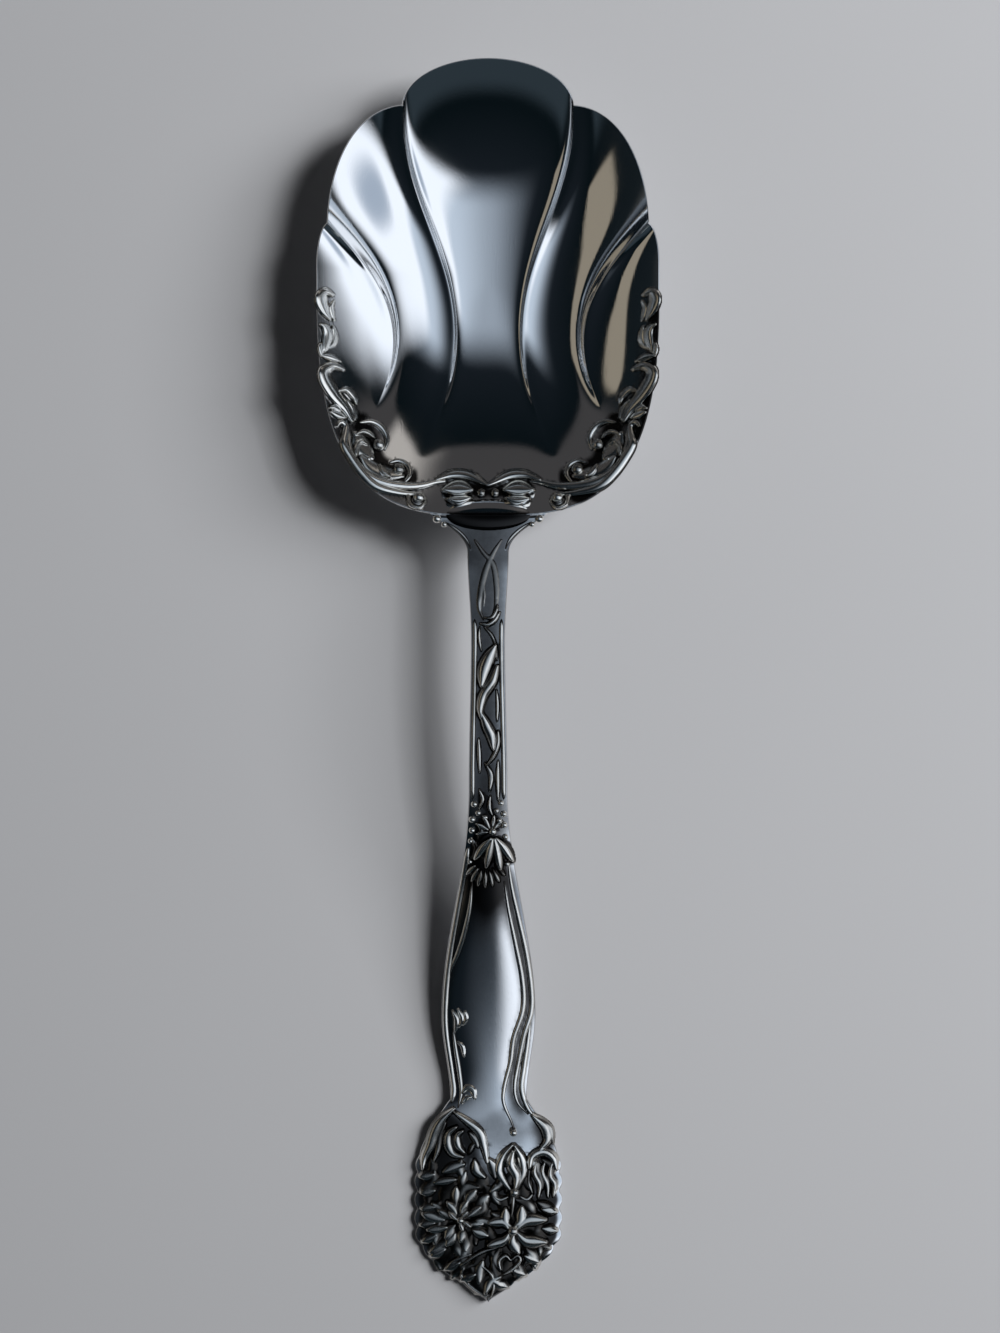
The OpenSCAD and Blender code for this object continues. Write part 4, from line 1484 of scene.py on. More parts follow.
        # All of these strokes are painted shade.
        strokes = [
            wash(4.6, 0.9, (-24.0, 50.0), (-21.5, 45.0), (-20.0, 41.0), (-15.5, 39.0), (-13.0, 38.0)),
            wash(3.0, 0.35, (-27.6, 64.0), (-27.6, 56.0), (-24.6, 49.0)),
            wash(4.4, rim, (-30.4, 71.0), (-30.2, 62.0), (-29.0, 54.5), (-26.8, 47.0), (-22.4, 39.0),
                 (-15.0, 34.2)),
            wash(3.4, 0.9, (-8.0, 36.2), (-4.0, 36.2), (0.0, 35.8)),
        ]
        return [replace(s, section=Section.DOME) for s in strokes]

    def beads(self) -> list[BeadPlace]:
        """Bead places and radii."""
        balls = [(-19.9, 44.3, 1.15), (-16.2, 39.8, 1.15), (-12.5, 34.6, 1.05)]
        return [*balls, (-21.6, 41.6, 0.5), (-26.3, 48.2, 0.5)]

    def heel_strokes(self) -> list[Stroke]:
        """Strokes of the pair of scrolls at the heel's middle."""
        return [
            rib(2.0, 1.0, (-9.4, 38.0), (-6.6, 39.1), (-3.6, 38.9), (-0.1, 37.0)),
            dome(3.4, 1.6, (-8.0, 36.1), (-5.4, 36.4), (-2.9, 36.1)),
            dome(2.0, 1.5, (-7.4, 34.4), (-5.3, 34.2), (-3.1, 34.6)),
        ]

    def heel_beads(self) -> list[BeadPlace]:
        """Bead places and radii of the heel's scrolls."""
        return [(-1.25, 35.5, 0.85)]

    def shoulder_curls(self) -> list[BeadPlace]:
        """Bead places and radii where the shoulder meets the bowl."""
        return [(-9.2, 30.7, 0.8), (-7.9, 29.7, 0.55)]


@dataclass
class HandleOrnament:
    """Relief on the stem, the panel and the terminal. Soils are shares of full patina."""

    form: HandleForm
    rail_inset: float = 0.62
    neck_tone: float = 0.5
    neck_from: float = 14.0
    neck_soil: float = 0.57
    stem_soil: float = 0.60
    blossom_soil: float = 0.58
    panel_soil: float = 0.38
    terminal_soil: float = 0.73
    bell_foot: Point = (1.0, -26.2)
    calyx_foot: Point = (0.6, -25.6)
    fan_foot: Point = (-0.5, -30.6)
    aster_heart: Point = (-5.2, -98.0)
    lily_heart: Point = (4.5, -99.9)
    heart_lift: float = 0.7
    seed: int = 7

    def stem_rails(self) -> list[Stroke]:
        """Raised edges of the stem, and of the shoulder over it.

        Returns:
            Strokes on both sides.
        """
        rails = []
        stem, shoulder = np.linspace(12.7, -19.8, 16), np.linspace(30.2, 25.2, 9)
        for ys, width, taper in ((stem, 0.85, Taper.EVEN), (shoulder, 0.7, Taper.SWELL)):
            edge = self.form.half_width(ys) - self.rail_inset * width
            for side in (-1, 1):
                points = tuple((side * float(x), float(y)) for x, y in zip(edge, ys))
                rails.append(Stroke(points, width, 0.5, taper=taper))
        return rails

    def tendrils(self) -> list[Stroke]:
        """Looped stalk and ribbon leaves down the stem."""
        return [
            dome(1.3, 0.16, (-2.4, 26.9), (-0.9, 24.7), (0.9, 22.5), (1.5, 18.7), (1.4, 15.3), (0.9, 13.6)),
            dome(1.3, 0.18, (2.4, 26.9), (0.9, 24.5), (-0.5, 21.3), (-1.4, 17.5), (-1.6, 14.7),
                 (-0.8, 12.6)),
            dome(0.6, 0.16, (-0.9, 19.7), (-0.7, 17.1), (-0.8, 14.9)),
            rib(0.95, 0.8, (-1.4, 11.9), (0.0, 11.7), (1.2, 12.5), (2.1, 13.9)),
            rib(0.7, 0.7, (-0.6, 12.9), (0.6, 12.9), (1.5, 14.1), (1.7, 15.1)),
            rib(0.7, 0.5, (-0.7, 11.3), (0.7, 9.7), (1.4, 7.7), (1.6, 5.3)),
            rib(0.6, 0.45, (-1.5, 11.3), (-1.6, 9.3), (-1.2, 6.9)),
            dome(2.9, 1.05, (1.3, 7.9), (0.2, 5.9), (-0.8, 3.3), (-1.2, 0.7)),
            dome(2.2, 1.05, (1.7, 4.3), (0.8, 1.5), (-0.8, -0.9), (-1.4, -3.1), (-1.3, -5.1)),
            rib(0.7, 0.5, (1.5, 0.1), (1.7, -2.7), (1.6, -5.7)),
            dome(2.3, 1.05, (-1.2, -4.1), (-0.2, -6.5), (0.6, -8.3), (0.9, -10.7)),
            dome(1.1, 0.8, (1.8, -7.3), (1.8, -9.5), (1.1, -11.7), (-0.2, -13.5)),
            rib(0.9, 0.6, (-1.7, -8.7), (-1.6, -11.7), (-1.5, -14.9)),
            leaf(1.1, 0.6, (-0.6, -13.1), (0.5, -15.3), (0.3, -18.3)),
            rib(0.9, 0.6, (1.8, -12.7), (1.7, -15.9), (1.8, -19.9)),
        ]

    def blossom(self) -> list[Stroke]:
        """Bell flower at the head of the panel, with its calyx and the fan of a second flower below.

        Returns:
            Strokes of the flowers and the small leaves among them.
        """
        strokes = []
        for k, angle in enumerate((230, 256, 282, 308)):
            reach = 6.4 - 0.35 * abs(k - 1.9)
            steps = ((0.8, 1.0), (0.55 * reach, 1.0), (reach, 0.92))
            strokes.append(petal(2.3, 1.2, fan_blade(self.bell_foot, angle, *steps)))
        for angle, reach in ((45, 2.6), (80, 2.9), (118, 3.2), (152, 3.0), (190, 2.7)):
            blade = fan_blade(self.calyx_foot, angle, (0.6, 1.0), (reach, 1.0))
            strokes.append(petal(1.2, 0.8, blade, Section.LEAF))
        for k in range(7):
            blade = fan_blade(self.fan_foot, 214 + 18.5 * k, (2.2, 1.0), (5.2, 0.8))
            strokes.append(petal(1.3, 0.8, blade))
        return strokes + [
            leaf(1.2, 0.7, (-3.2, -30.5), (-1.6, -29.9), (-0.4, -30.7)),
            leaf(0.9, 0.7, (-1.6, -17.9), (-1.0, -19.7), (-1.6, -21.5)),
            leaf(0.9, 0.7, (0.4, -19.1), (0.2, -21.1), (0.8, -22.7)),
            leaf(1.0, 0.7, (-2.0, -24.1), (-1.2, -25.7), (-2.0, -27.5)),
            rib(1.0, 0.7, (-2.9, -26.9), (-2.2, -28.5), (-2.8, -30.1)),
        ]

    def berries(self) -> list[BeadPlace]:
        """Small beads among the stem's flowers."""
        return [
            (-2.5, -20.6, 0.62), (-1.8, -22.2, 0.55), (-2.9, -23.4, 0.65), (-2.9, -25.4, 0.6),
            (-0.5, -23.0, 0.5), (2.3, -20.4, 0.55), (1.5, -21.8, 0.5), (2.8, -22.4, 0.6),
            (2.9, -24.4, 0.6), (3.1, -26.6, 0.55), (2.0, -23.6, 0.5), (0.8, -25.6, 0.7),
            (-3.2, -27.4, 0.5), (-3.3, -31.2, 0.5), (3.4, -31.6, 0.5),
        ]

    def panel_stalks(self) -> list[Stroke]:
        """Stalks that follow the panel's edges, crossing inwards on the right below the belly.

        Returns:
            Strokes from the panel's head to its foot.
        """
        ys = np.linspace(-28.5, -76.5, 22)
        edge = self.form.half_width(ys) - 0.6
        left = tuple((-float(x), float(y)) for x, y in zip(edge, ys))
        return [
            Stroke(left, 1.15, 0.6, taper=Taper.EVEN),
            rib(1.0, 0.55, (-2.9, -34.8), (-3.3, -39.3), (-4.2, -43.8), (-5.4, -47.8), (-6.8, -51.3),
                (-7.6, -54.3)),
            rib(0.95, 0.55, (-6.5, -62.3), (-6.0, -66.3), (-5.4, -70.3), (-5.0, -74.3), (-5.6, -77.3)),
            rib(1.15, 0.6, (3.5, -30.3), (4.2, -35.8), (5.5, -41.8), (6.9, -48.3), (7.8, -54.8),
                (7.8, -59.3), (6.5, -63.8), (5.5, -68.8), (4.8, -73.3), (5.4, -76.3), (7.4, -78.5)),
            rib(1.1, 0.6, (2.9, -34.8), (3.7, -40.3), (4.9, -46.3), (6.2, -53.3), (6.3, -58.8),
                (4.6, -64.3), (4.0, -68.8), (2.9, -73.3), (2.8, -76.3), (4.2, -79.7), (4.8, -81.5)),
            rib(1.15, 0.6, (7.7, -61.3), (7.1, -65.8), (6.5, -69.8), (6.1, -73.8), (7.2, -77.3),
                (9.4, -79.9)),
        ]

    def sprigs(self) -> list[Stroke]:
        """Small leaf sprigs that break from the left stalk onto the panel."""
        return [
            leaf(1.1, 0.6, (-6.6, -59.1), (-5.9, -60.9), (-6.2, -63.1)),
            leaf(0.9, 0.5, (-5.6, -58.7), (-4.9, -60.5), (-5.4, -62.1)),
            leaf(0.8, 0.45, (-4.3, -59.1), (-4.1, -60.5), (-4.7, -61.7)),
            leaf(0.9, 0.45, (-6.0, -64.9), (-4.9, -65.7), (-4.5, -67.7)),
            leaf(1.3, 0.5, (-5.0, -74.6), (-4.1, -73.5), (-2.9, -73.9), (-2.5, -75.5)),
            leaf(1.0, 0.45, (-4.9, -76.4), (-4.2, -75.4), (-3.3, -75.3)),
        ]

    def aster(self) -> list[Stroke]:
        """Many-petalled flower on the left of the terminal, with uneven petals that curl at their ends.

        Returns:
            Petals of three rings, from the outer one inwards.
        """
        rng = random.Random(self.seed)
        rings = ((10, 3.0, 6.6, 3.1, 0.95), (7, 1.4, 4.4, 2.7, 1.25), (4, 0.4, 2.4, 1.9, 1.5))
        strokes = []
        for count, start, end, width, height in rings:
            turn = rng.uniform(0, 6)
            for i in range(count):
                a = 2 * math.pi * (i + rng.uniform(-0.28, 0.28)) / count + turn
                reach = end * rng.uniform(0.84, 1.06)
                curl = rng.choice((-1, 1)) * rng.uniform(0.3, 1.1)
                steps = ((start, 0.0), (0.6 * start + 0.4 * reach, 0.25 * curl), (reach, curl))
                points = bent_ray(self.aster_heart, (math.cos(a), 0.9 * math.sin(a)), steps)
                wide, high = width * rng.uniform(0.8, 1.15), height * rng.uniform(0.75, 1.1)
                strokes.append(petal(wide, high, points))
        return strokes

    def lily(self) -> list[Stroke]:
        """Open lily on the right of the terminal.

        Returns:
            One stroke for each petal.
        """
        petals = (
            (20, 6.2, 3.4, 0.7), (66, 4.6, 3.1, -0.6), (112, 4.2, 2.9, 0.6), (158, 4.6, 3.0, -0.7),
            (214, 5.2, 2.9, 0.6), (282, 4.2, 3.1, -0.5), (336, 6.4, 3.5, -0.8),
        )
        strokes = []
        for angle, reach, width, bend in petals:
            a = math.radians(angle)
            steps = ((0.8, 0.0), (0.5 * reach, bend), (reach, -0.4 * bend))
            strokes.append(petal(width, 1.25, bent_ray(self.lily_heart, (math.cos(a), math.sin(a)), steps)))
        return strokes

    def hearts(self) -> list[BeadPlace]:
        """Beads in the hearts of the flowers and at the bud's two ends."""
        return [(*self.aster_heart, 0.7), (*self.lily_heart, 1.0), (4.8, -92.8, 0.9), (4.6, -81.7, 0.7)]

    def heart_level(self, x: np.ndarray, y: np.ndarray) -> np.ndarray:
        """Height on which the hearts' beads sit."""
        return self.form.top(x, y) + self.heart_lift

    def bud(self) -> list[Stroke]:
        """Upright bud between the lily and the panel."""
        return [
            dome(2.1, 1.0, (4.4, -84.1), (2.7, -86.2), (1.9, -88.8), (3.0, -91.0), (4.6, -93.0)),
            dome(2.1, 1.0, (4.8, -84.1), (6.1, -86.5), (6.5, -89.0), (5.7, -91.3), (5.0, -93.0)),
            dome(2.4, 1.4, (4.6, -85.3), (4.2, -87.6), (5.2, -89.9), (4.9, -92.4)),
            dome(1.2, 0.7, (0.7, -93.3), (2.1, -94.3), (3.7, -93.7)),
            dome(1.2, 0.7, (8.2, -93.3), (7.1, -94.3), (5.7, -93.6)),
            rib(1.0, 0.8, (4.7, -93.3), (4.5, -95.6), (4.2, -97.8)),
        ]

    def curls(self) -> list[Stroke]:
        """Curled leaves and stalk ends at the terminal's upper corners."""
        return [
            rib(2.0, 1.1, (-5.9, -80.7), (-7.4, -82.1), (-7.5, -84.2), (-6.5, -85.8), (-4.7, -86.3)),
            rib(1.7, 1.1, (-4.7, -81.4), (-5.8, -82.5), (-5.6, -84.2), (-4.4, -85.5)),
            rib(1.9, 0.85, (-6.2, -78.1), (-4.0, -79.7), (-1.7, -81.7), (-0.8, -84.5), (-0.2, -87.4)),
            rib(2.2, 1.0, (-6.5, -77.4), (-8.8, -79.7), (-10.0, -82.0), (-10.8, -84.5), (-11.9, -86.8),
                (-12.2, -88.8)),
            dome(1.8, 0.75, (-7.9, -80.0), (-8.9, -82.3), (-9.4, -85.1), (-10.2, -87.4)),
            dome(1.5, 0.6, (-3.6, -81.7), (-2.4, -83.2), (-1.9, -84.6)),
            dome(1.3, 0.5, (-3.7, -85.9), (-2.8, -84.2), (-2.1, -84.0)),
            rib(2.1, 1.0, (8.2, -78.6), (10.4, -81.0), (10.9, -83.4), (9.5, -85.1)),
            dome(1.2, 0.7, (9.3, -78.9), (11.4, -81.1), (11.9, -84.0)),
            rib(2.0, 1.15, (7.6, -88.5), (8.1, -86.4), (10.2, -85.5), (12.0, -86.7), (12.6, -88.8)),
            rib(1.35, 1.0, (8.9, -87.4), (8.5, -89.3), (9.5, -91.6), (9.2, -94.1)),
            rib(1.35, 1.05, (10.4, -87.4), (10.0, -89.3), (10.9, -91.6), (11.0, -94.0)),
            rib(1.4, 1.1, (11.7, -87.7), (11.4, -89.8), (12.3, -91.6), (12.0, -93.9)),
            dome(1.1, 0.6, (7.6, -88.8), (7.4, -91.0), (8.2, -93.3)),
        ]

    def edge_leaves(self) -> list[Stroke]:
        """Rounded leaf ends round the terminal's edge, low leaves between, and broad ones at its point.

        Returns:
            Strokes of all of them.
        """
        strokes = self.low_leaves()
        right = (-96.7, -100.2, -103.4, -106.0, -108.4, -110.6)
        left = (-90.2, -93.2, -96.2, -99.2, -102.2, -104.9, -107.3, -109.4)
        for side, y in [(1, y) for y in right] + [(-1, y) for y in left]:
            w = float(self.form.half_width(np.array(y)))
            drop = 0.5 if y > -101 else 1.3
            steps = ((w - 3.2, y + drop), (w - 1.9, y + 0.4 * drop), (w - 0.75, y))
            strokes.append(petal(2.5, 0.8, tuple((side * x, level) for x, level in steps)))
        return strokes + [
            rib(0.85, 0.9, (4.6, -101.7), (1.7, -103.0), (-1.4, -104.0), (-5.2, -106.5)),
            rib(0.8, 0.7, (-3.1, -104.3), (-6.4, -105.7), (-8.3, -107.6)),
            dome(4.2, 0.5, (-3.1, -107.0), (-2.1, -109.6), (-0.4, -112.0)),
            rib(0.8, 0.75, (-4.5, -106.9), (-5.0, -108.6), (-3.0, -110.8), (-0.4, -112.4)),
            rib(0.8, 0.75, (-1.1, -106.5), (0.6, -108.2), (1.0, -110.4), (0.4, -112.3)),
            dome(2.8, 0.55, (3.9, -105.2), (3.3, -106.9), (2.7, -108.1)),
            rib(0.95, 0.95, (2.3, -107.3), (2.0, -105.6), (3.2, -104.6), (4.1, -105.5)),
            rib(0.95, 0.95, (4.1, -105.5), (5.4, -104.6), (5.9, -105.6), (4.4, -107.2), (2.7, -108.1)),
            dome(1.9, 0.6, (6.5, -102.3), (7.6, -104.6), (6.5, -106.9)),
        ]

    def low_leaves(self) -> list[Stroke]:
        """Low leaves that fill the ground between the terminal's flowers.

        Returns:
            Strokes scattered in rows.
        """
        rng = random.Random(self.seed + 1)
        strokes = []
        for row in range(10):
            y = -88.5 - 2.4 * row
            w = float(self.form.half_width(np.array(y))) - 1.6
            count = max(2, int(2 * w / 2.8))
            for i in range(count):
                x = mix(-w, w, (i + 0.5 + rng.uniform(-0.3, 0.3)) / count)
                a = math.atan2(-1.0, 0.12 * x) + rng.uniform(-0.9, 0.9)
                half = rng.uniform(1.5, 2.4)
                dx, dy, bend = half * math.cos(a), half * math.sin(a), rng.uniform(-0.5, 0.5)
                points = ((x - dx, y - dy), (x - bend * dy, y + bend * dx), (x + dx, y + dy))
                if abs(x) + abs(dx) < w + 0.8:
                    strokes.append(dome(rng.uniform(2.0, 3.0), rng.uniform(0.35, 0.80), *points))
        return strokes

    def panel_head(self) -> list[Stroke]:
        """Painted dark reflection that fades from the flower down the panel's head, in ever longer strokes.

        Returns:
            Strokes whose heights are shares of full darkening.
        """
        strokes = []
        for k in range(7):
            points = ((0.0, -31.0), (-0.05 * k, -34.0 - k), (-0.25 * k, -37.0 - 2.1 * k))
            strokes.append(wash(9.6 - 0.5 * k, 0.98 - 0.13 * k, *points, section=Section.DOME))
        return strokes

    def darkened_ground(self) -> list[Stroke]:
        """Broad strokes over the darkened ground: patina on the stem and the terminal, a painted dark
        reflection on the panel's head and painted shade beside the stalks.
        """
        return [
            # Painted dark reflection over the panel's head.
            *self.panel_head(),
            wash(24.0, self.neck_soil, (0.0, 33.0), (0.0, 28.0), (0.0, 22.0)),
            wash(10.0, self.neck_soil, (0.0, 28.0), (0.0, 20.0), (0.0, 10.0)),
            wash(8.5, self.stem_soil, (0.0, 14.0), (0.0, 0.0), (0.0, -26.0)),
            wash(7.5, self.blossom_soil, (1.0, -22.0), (0.5, -27.0), (0.0, -33.0)),
            # Painted shade beside the stalks down the panel, darker on the right.
            wash(3.6, 0.75, (3.2, -32.0), (5.0, -43.0), (7.2, -54.0), (7.2, -59.0), (5.2, -68.0),
                 (4.6, -74.0), (7.0, -79.0)),
            wash(2.6, 0.65, (-3.6, -30.0), (-5.0, -43.0), (-7.8, -55.0), (-7.6, -62.0), (-6.2, -70.0),
                 (-6.2, -77.0)),
            wash(8.5, self.terminal_soil, (-7.0, -78.0), (-8.4, -84.0), (-9.0, -92.0)),
            wash(4.6, self.terminal_soil, (-4.2, -80.0), (-3.2, -85.0), (-2.6, -90.0)),
            wash(4.6, self.terminal_soil, (9.0, -79.0), (10.5, -83.0), (11.0, -90.0)),
            wash(9.0, self.panel_soil, (0.6, -78.0), (2.6, -82.0), (7.0, -82.0)),
            wash(14.0, self.terminal_soil, (-16.0, -93.5), (0.0, -94.0), (16.0, -93.5)),
            wash(14.0, self.terminal_soil, (-16.0, -101.0), (0.0, -101.0), (16.0, -101.0)),
            wash(14.0, self.terminal_soil, (-12.0, -108.0), (0.0, -108.0), (12.0, -108.0)),
        ]


@dataclass(frozen=True)
class Edge:
    """A soft straight edge in the room: a plane's way, and the angles over it from dark to full."""

    azimuth: float
    elevation: float
    start: float
    end: float


@dataclass(frozen=True)
class RoomPatch:
    """A part of the room that the silver reflects, cut out by its edges."""

    tone: Tone
    edges: tuple[Edge, ...]


def between(first: float, last: float, soft: float) -> tuple[Edge, Edge]:
    """Edges that keep the azimuths from first to last."""
    return (Edge(first + 90, 0, -soft, soft), Edge(last - 90, 0, -soft, soft))


def above(elevation: float, soft: float) -> Edge:
    """Edge that keeps what is above an elevation."""
    return Edge(0, 90, elevation - soft, elevation + soft)


def below(elevation: float, soft: float) -> Edge:
    """Edge that keeps what is below an elevation."""
    return Edge(0, -90, -elevation - soft, -elevation + soft)


FRONT_BAND = RoomPatch((0.026, 0.038, 0.048), (*between(-140, -40, 8), below(33, 3)))
HEEL_WALL = RoomPatch((0.052, 0.051, 0.053), (*between(25, 150, 6), below(35.4, 1.0)))
HEEL_LAMP = RoomPatch(
    (0.46, 0.44, 0.42), (Edge(134, 0, 0, 8), Edge(-4, 0, 0, 18), above(24, 4), below(35.2, 1.4))
)
WARM_WALL = RoomPatch((0.28, 0.25, 0.20), (*between(157, 202, 1.5), above(21, 1.2), below(37, 1.2)))
CEILING = RoomPatch(
    (0.57, 0.67, 0.80),
    (Edge(0, 0, -30, 23.6), Edge(-101, 31.5, -2, 12), Edge(90, 0, -32, -17), above(41, 5)),
)
WINDOW = RoomPatch(
    (1.02, 1.10, 1.22),
    (Edge(66.5, 22.2, -3, 6), Edge(-82.3, 16.7, -3, 9), Edge(0, 0, -2, 10), above(6, 4), below(61, 6)),
)
GREY_BLOT = RoomPatch((0.40, 0.48, 0.60), (Edge(-12, 28, 77, 88),))
ROOM = (FRONT_BAND, HEEL_WALL, HEEL_LAMP, WARM_WALL, CEILING, WINDOW, GREY_BLOT)


@dataclass
class Studio:
    """Floor, light and camera, in metres."""

    camera_height: float = 0.45
    camera_at: Point = (0.00214, 0.0042)
    frame_height: float = 0.2478
    sensor: float = 36.0
    floor_reach: float = 3.0
    floor_colour: Tone = (0.405, 0.411, 0.428)
    floor_shares: Point = (0.97, 1.03)
    ambient: Tone = (0.034, 0.034, 0.035)
    backdrop: Tone = (0.62, 0.63, 0.64)
    dim_room: tuple[tuple[float, Tone], ...] = (
        (0.0, (0.050, 0.052, 0.054)),
        (0.12, (0.008, 0.012, 0.015)),
        (0.60, (0.003, 0.006, 0.008)),
        (1.0, (0.012, 0.016, 0.022)),
    )

    def build(self) -> None:
        """Set up the whole studio."""
        self.floor()
        self.lamp("window_lamp", azimuth=18, elevation=36, distance=1.1, size=0.5, watts=8.4)
        self.lamp("ceiling_lamp", azimuth=18, elevation=54, distance=1.1, size=0.28, watts=9.1)
        self.world()
        self.camera()

    def floor(self) -> None:
        """Lay a plain pale floor, a little uneven in tone."""
        mesh = bpy.data.meshes.new("floor")
        r = self.floor_reach
        mesh.from_pydata([(-r, -r, 0), (r, -r, 0), (r, r, 0), (-r, r, 0)], [], [(0, 1, 2, 3)])
        obj = to_scene("floor", mesh)
        material = bpy.data.materials.new("pale_cloth")
        material.use_nodes = True
        bench = Bench(material.node_tree)
        coords = bench.add("ShaderNodeTexCoord").outputs["Object"]
        noise = bench.add("ShaderNodeTexNoise", {"Vector": coords, "Scale": 6.0, "Detail": 4.0})
        low, high = ((*[share * c for c in self.floor_colour], 1.0) for share in self.floor_shares)
        shader = bench.tree.nodes["Principled BSDF"]
        bench.fill(shader, {"Roughness": 0.9, "Specular IOR Level": 0.1})
        bench.fill(shader, {"Base Color": bench.lay(low, noise.outputs["Fac"], high)})
        mesh.materials.append(material)

    def lamp(
        self, name: str, azimuth: float, elevation: float, distance: float, size: float, watts: float
    ) -> None:
        """Hang a square soft lamp that faces the spoon.

        Args:
            name: Name of the lamp.
            azimuth: Degrees from +X towards +Y.
            elevation: Degrees above the floor.
            distance: Metres from the spoon.
            size: Side in metres.
            watts: Power.
        """
        data = bpy.data.lights.new(name, "AREA")
        data.size = size
        data.energy = watts
        obj = to_scene(name, data)
        obj.location = [distance * c for c in direction(azimuth, elevation)]
        tilt, turn = 0.5 * math.pi - math.radians(elevation), math.radians(azimuth) + 0.5 * math.pi
        obj.rotation_euler = (tilt, 0.0, turn)
        obj.visible_glossy = False

    def world(self) -> None:
        """Paint the room that the silver reflects, over a plain light for the floor and the backdrop."""
        world = bpy.data.worlds.new("room")
        bpy.context.scene.world = world
        world.use_nodes = True
        bench = Bench(world.node_tree)
        way = bench.add("ShaderNodeTexCoord").outputs["Generated"]
        split = bench.add("ShaderNodeSeparateXYZ", {0: way})
        base = bench.add("ShaderNodeValToRGB", {"Fac": split.outputs["Z"]})
        stops = base.color_ramp.elements
        for k, (place, tone) in enumerate(self.dim_room):
            stop = stops[k] if k < 2 else stops.new(place)
            stop.position = place
            stop.color = (*tone, 1.0)
        colour = base.outputs["Color"]
        for patch in ROOM:
            colour = bench.lay(colour, self.mask(bench, way, patch), (*patch.tone, 1.0))
        rays = bench.add("ShaderNodeLightPath").outputs
        for ray, tone in (("Is Diffuse Ray", self.ambient), ("Is Camera Ray", self.backdrop)):
            colour = bench.lay(colour, rays[ray], (*tone, 1.0))
        bench.fill(bench.tree.nodes["Background"], {"Color": colour})

    def mask(self, bench: Bench, way: Socket, patch: RoomPatch) -> Socket:
        """Soft-edged mask of a part of the room.

        Args:
            bench: The world's tree.
            way: Direction looked at.
            patch: The part.

        Returns:
            The mask, 1 inside all of its edges.
        """
        masks = []
        for edge in patch.edges:
            dot = bench.add("ShaderNodeVectorMath", operation="DOT_PRODUCT")
            bench.fill(dot, {0: way, 1: direction(edge.azimuth, edge.elevation)})
            step = bench.add("ShaderNodeMapRange", interpolation_type="SMOOTHSTEP")
            for end, angle in (("From Min", edge.start), ("From Max", edge.end)):
                bench.fill(step, {end: math.sin(math.radians(angle))})
            bench.fill(step, {"Value": dot.outputs["Value"]})
            masks.append(step.outputs["Result"])
        return bench.join_all(masks, "MULTIPLY")

    def camera(self) -> None:
        """Hang the camera straight above the spoon."""
        data = bpy.data.cameras.new("camera")
        data.sensor_fit = "VERTICAL"
        data.sensor_height = self.sensor
        data.lens = self.sensor * self.camera_height / self.frame_height
        data.clip_start = 0.01
        obj = to_scene("camera", data)
        obj.location = (*self.camera_at, self.camera_height)
        bpy.context.scene.camera = obj
        bpy.context.scene.view_settings.view_transform = "Standard"


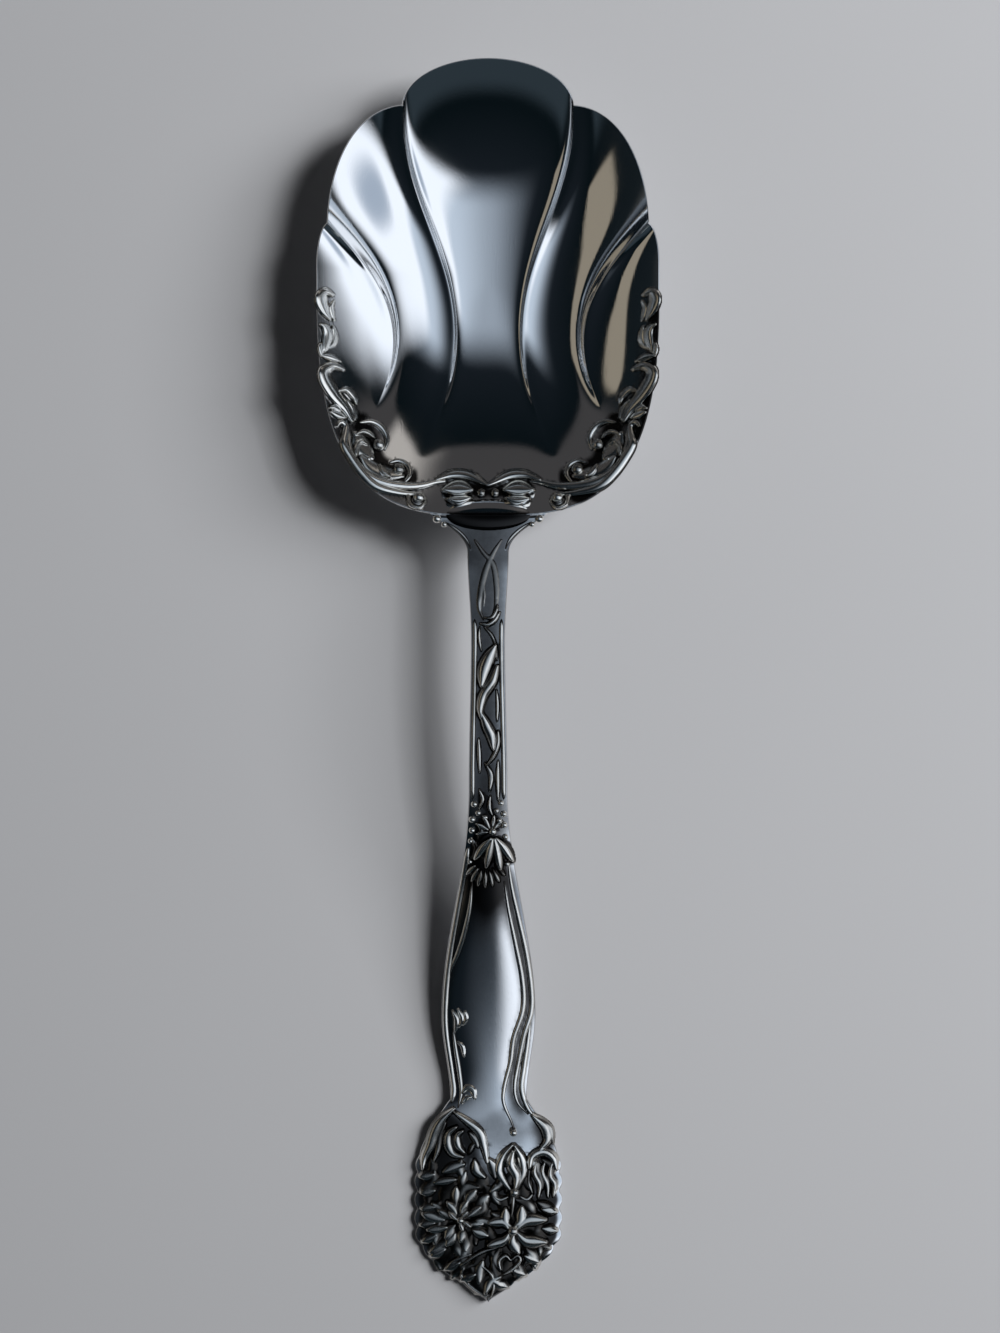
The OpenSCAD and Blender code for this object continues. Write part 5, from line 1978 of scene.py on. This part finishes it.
@dataclass
class Spoon:
    """The whole spoon: its two forms and its two finishes."""

    polished: Material
    relief: Material
    bowl: BowlForm = field(default_factory=BowlForm)
    handle: HandleForm = field(default_factory=HandleForm)

    def trim(
        self, obj: Piece, relief: ReliefField, lift: float, all_over: float = 0.0, node: str = ""
    ) -> None:
        """Shade a swept or beaded piece by its field and tie it to the part.

        Args:
            obj: The piece.
            relief: Field of the carrier.
            lift: Height over the ground over which the painted shade at its foot fades out.
            all_over: Darkening that covers the whole piece; a negative value brightens it.
            node: CAD node that the piece stands for, if any.
        """
        shade_by_field(obj, relief, lift, all_over)
        settle_piece(obj, self.relief, [node] if node else [])

    def build_bowl_side(self) -> None:
        """Build the bowl with its border, its heel and the bib."""
        bowl, border = self.bowl, Border(self.bowl)
        leaves, rails, heel = border.leaves(), border.rails(), border.heel_strokes()
        field_map = ReliefField(bowl.inside, (-31.5, 30.5), (31.5, 74.5))
        field_map.strike("border_left", leaves)
        field_map.strike("border_right", mirrored(leaves))
        field_map.strike("heel_scrolls", [*heel, *mirrored(heel)])
        field_map.shade([*rails, *mirrored(rails)])
        # Painted shade over the border's ground and along its rim.
        left, right = border.darkened_ground(border.left_rim_shade), border.darkened_ground(border.right_rim_shade)
        field_map.tint([*left, *mirrored(right)])
        field_map.settle(reach=1.0, bright_from=0.15, bright_full=0.60, left=0.25, soft=0.35)
        for piece in ("border_left", "border_right", "heel_scrolls"):
            verts, faces = field_map.patch(piece)
            obj = new_object(piece + "_relief", verts, faces, field_map.tarnish_and_shade(verts[:, 0], verts[:, 1]))
            settle_piece(obj, self.relief, [piece])
        self.build_bib()
        sweep, beads = SweepTool(), BeadTool()
        balls = both_sides(border.beads())
        half = len(balls) // 2
        sides = (("left", rails, balls[:half]), ("right", mirrored(rails), balls[half:]))
        for name, strokes, places in sides:
            obj = sweep.sweep(f"border_{name}_rails", strokes, bowl.inside, self.relief, lift=0.1)
            self.trim(obj, field_map, lift=0.35)
            obj = beads.beads(f"border_{name}_beads", places, bowl.inside, self.relief)
            self.trim(obj, field_map, lift=0.35)
        obj = beads.beads("heel_beads", both_sides(border.heel_beads()), bowl.inside, self.relief)
        self.trim(obj, field_map, lift=0.5)
        places = both_sides(border.shoulder_curls())
        obj = beads.beads("shoulder_curls", places, self.handle.top, self.relief)
        store(obj.data, TARNISH_AND_SHADE, np.zeros(len(obj.data.vertices)))
        settle_piece(obj, self.relief, [])
        Bowl(bowl).build(field_map, self.polished)

    def build_bib(self) -> None:
        """Build the plain bib, half on the bowl and half on the handle, with a painted dark reflection
        along its lower edge.
        """
        bowl, handle = self.bowl, self.handle
        bib = ReliefField(
            ground=lambda x, y: np.where(y > bowl.heel_rim_y(x), bowl.inside(x, y), handle.top(x, y)),
            low=(-9, 27),
            high=(9, 36),
        )
        bib.plate("heel_bib", centre=(0.0, 31.5), radii=(7.6, 2.8), crown=15.75, tilt=0.34, bend=0.012)
        verts, faces = bib.patch("heel_bib")
        # Painted dark reflection along the bib's lower edge, stored as darkening.
        edge = 0.95 * ease((32.6 - verts[:, 1]) / 1.5)
        obj = new_object("heel_bib_plate", verts, faces, edge)
        settle_piece(obj, self.polished, ["heel_bib"])

    def build_handle_side(self) -> None:
        """Build the handle with its ornament."""
        handle, ornament = self.handle, HandleOrnament(self.handle)
        field_map = ReliefField(handle.top, (-14.2, -113.4), (14.2, 31.5))
        shown = {
            "stem_tendrils": ornament.tendrils(),
            "stem_blossom": ornament.blossom(),
            "panel_sprigs": ornament.sprigs(),
            "terminal_aster": ornament.aster(),
            "terminal_lily": ornament.lily(),
            "terminal_bud": ornament.bud(),
            "terminal_curls": ornament.curls(),
            "terminal_leaves": ornament.edge_leaves(),
        }
        rails = {
            "stem_rails": (ornament.stem_rails(), 0.12),
            "panel_stalks": (ornament.panel_stalks(), 0.0),
        }
        for piece, strokes in shown.items():
            field_map.strike(piece, strokes, stain=piece == "stem_blossom")
        for strokes, _ in rails.values():
            field_map.shade(strokes)
        # Patina on the ground, with painted shade beside the stalks and a painted dark reflection over the
        # panel's head.
        field_map.tint(ornament.darkened_ground())
        field_map.settle(reach=0.8, bright_from=0.52, bright_full=0.97, left=0.44, soft=0.9)
        # Rubbed edge: wear, with a painted highlight along the right side.
        field_map.rub(handle.rubbed_and_lit_edge)
        for piece in shown:
            verts, faces = field_map.patch(piece)
            neck = ornament.neck_tone * ease((verts[:, 1] - ornament.neck_from) / 3.0)
            tarnish_and_shade = np.maximum(field_map.tarnish_and_shade(verts[:, 0], verts[:, 1]), neck)
            obj = new_object(piece + "_relief", verts, faces, tarnish_and_shade)
            settle_piece(obj, self.relief, [piece])
        for piece, (strokes, tone) in rails.items():
            obj = SweepTool().sweep(piece + "_sweep", strokes, handle.top, self.relief, lift=-0.15)
            self.trim(obj, field_map, lift=0.25, all_over=tone, node=piece)
        obj = BeadTool().beads("stem_berries", ornament.berries(), handle.top, self.relief)
        self.trim(obj, field_map, lift=0.3, all_over=-0.45)
        obj = BeadTool().beads("terminal_hearts", ornament.hearts(), ornament.heart_level, self.relief)
        self.trim(obj, field_map, lift=0.3)
        Handle(handle, self.bowl).build(field_map, self.polished)


def main() -> None:
    logging.basicConfig(level=logging.INFO, format="%(name)s: %(message)s")
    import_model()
    polished = SilverFinish("polished_silver", gloss=0.06, dull=0.24)
    relief = SilverFinish(
        "relief_silver",
        bright=(0.88, 0.85, 0.79),
        dark=(0.042, 0.038, 0.034),
        gloss=0.17,
        dull=0.27,
        scratch_depth=0.03,
    )
    spoon = Spoon(polished.build(), relief.build())
    spoon.build_bowl_side()
    spoon.build_handle_side()
    Studio().build()
    LOG.info("built")


if __name__ == "__main__":
    main()
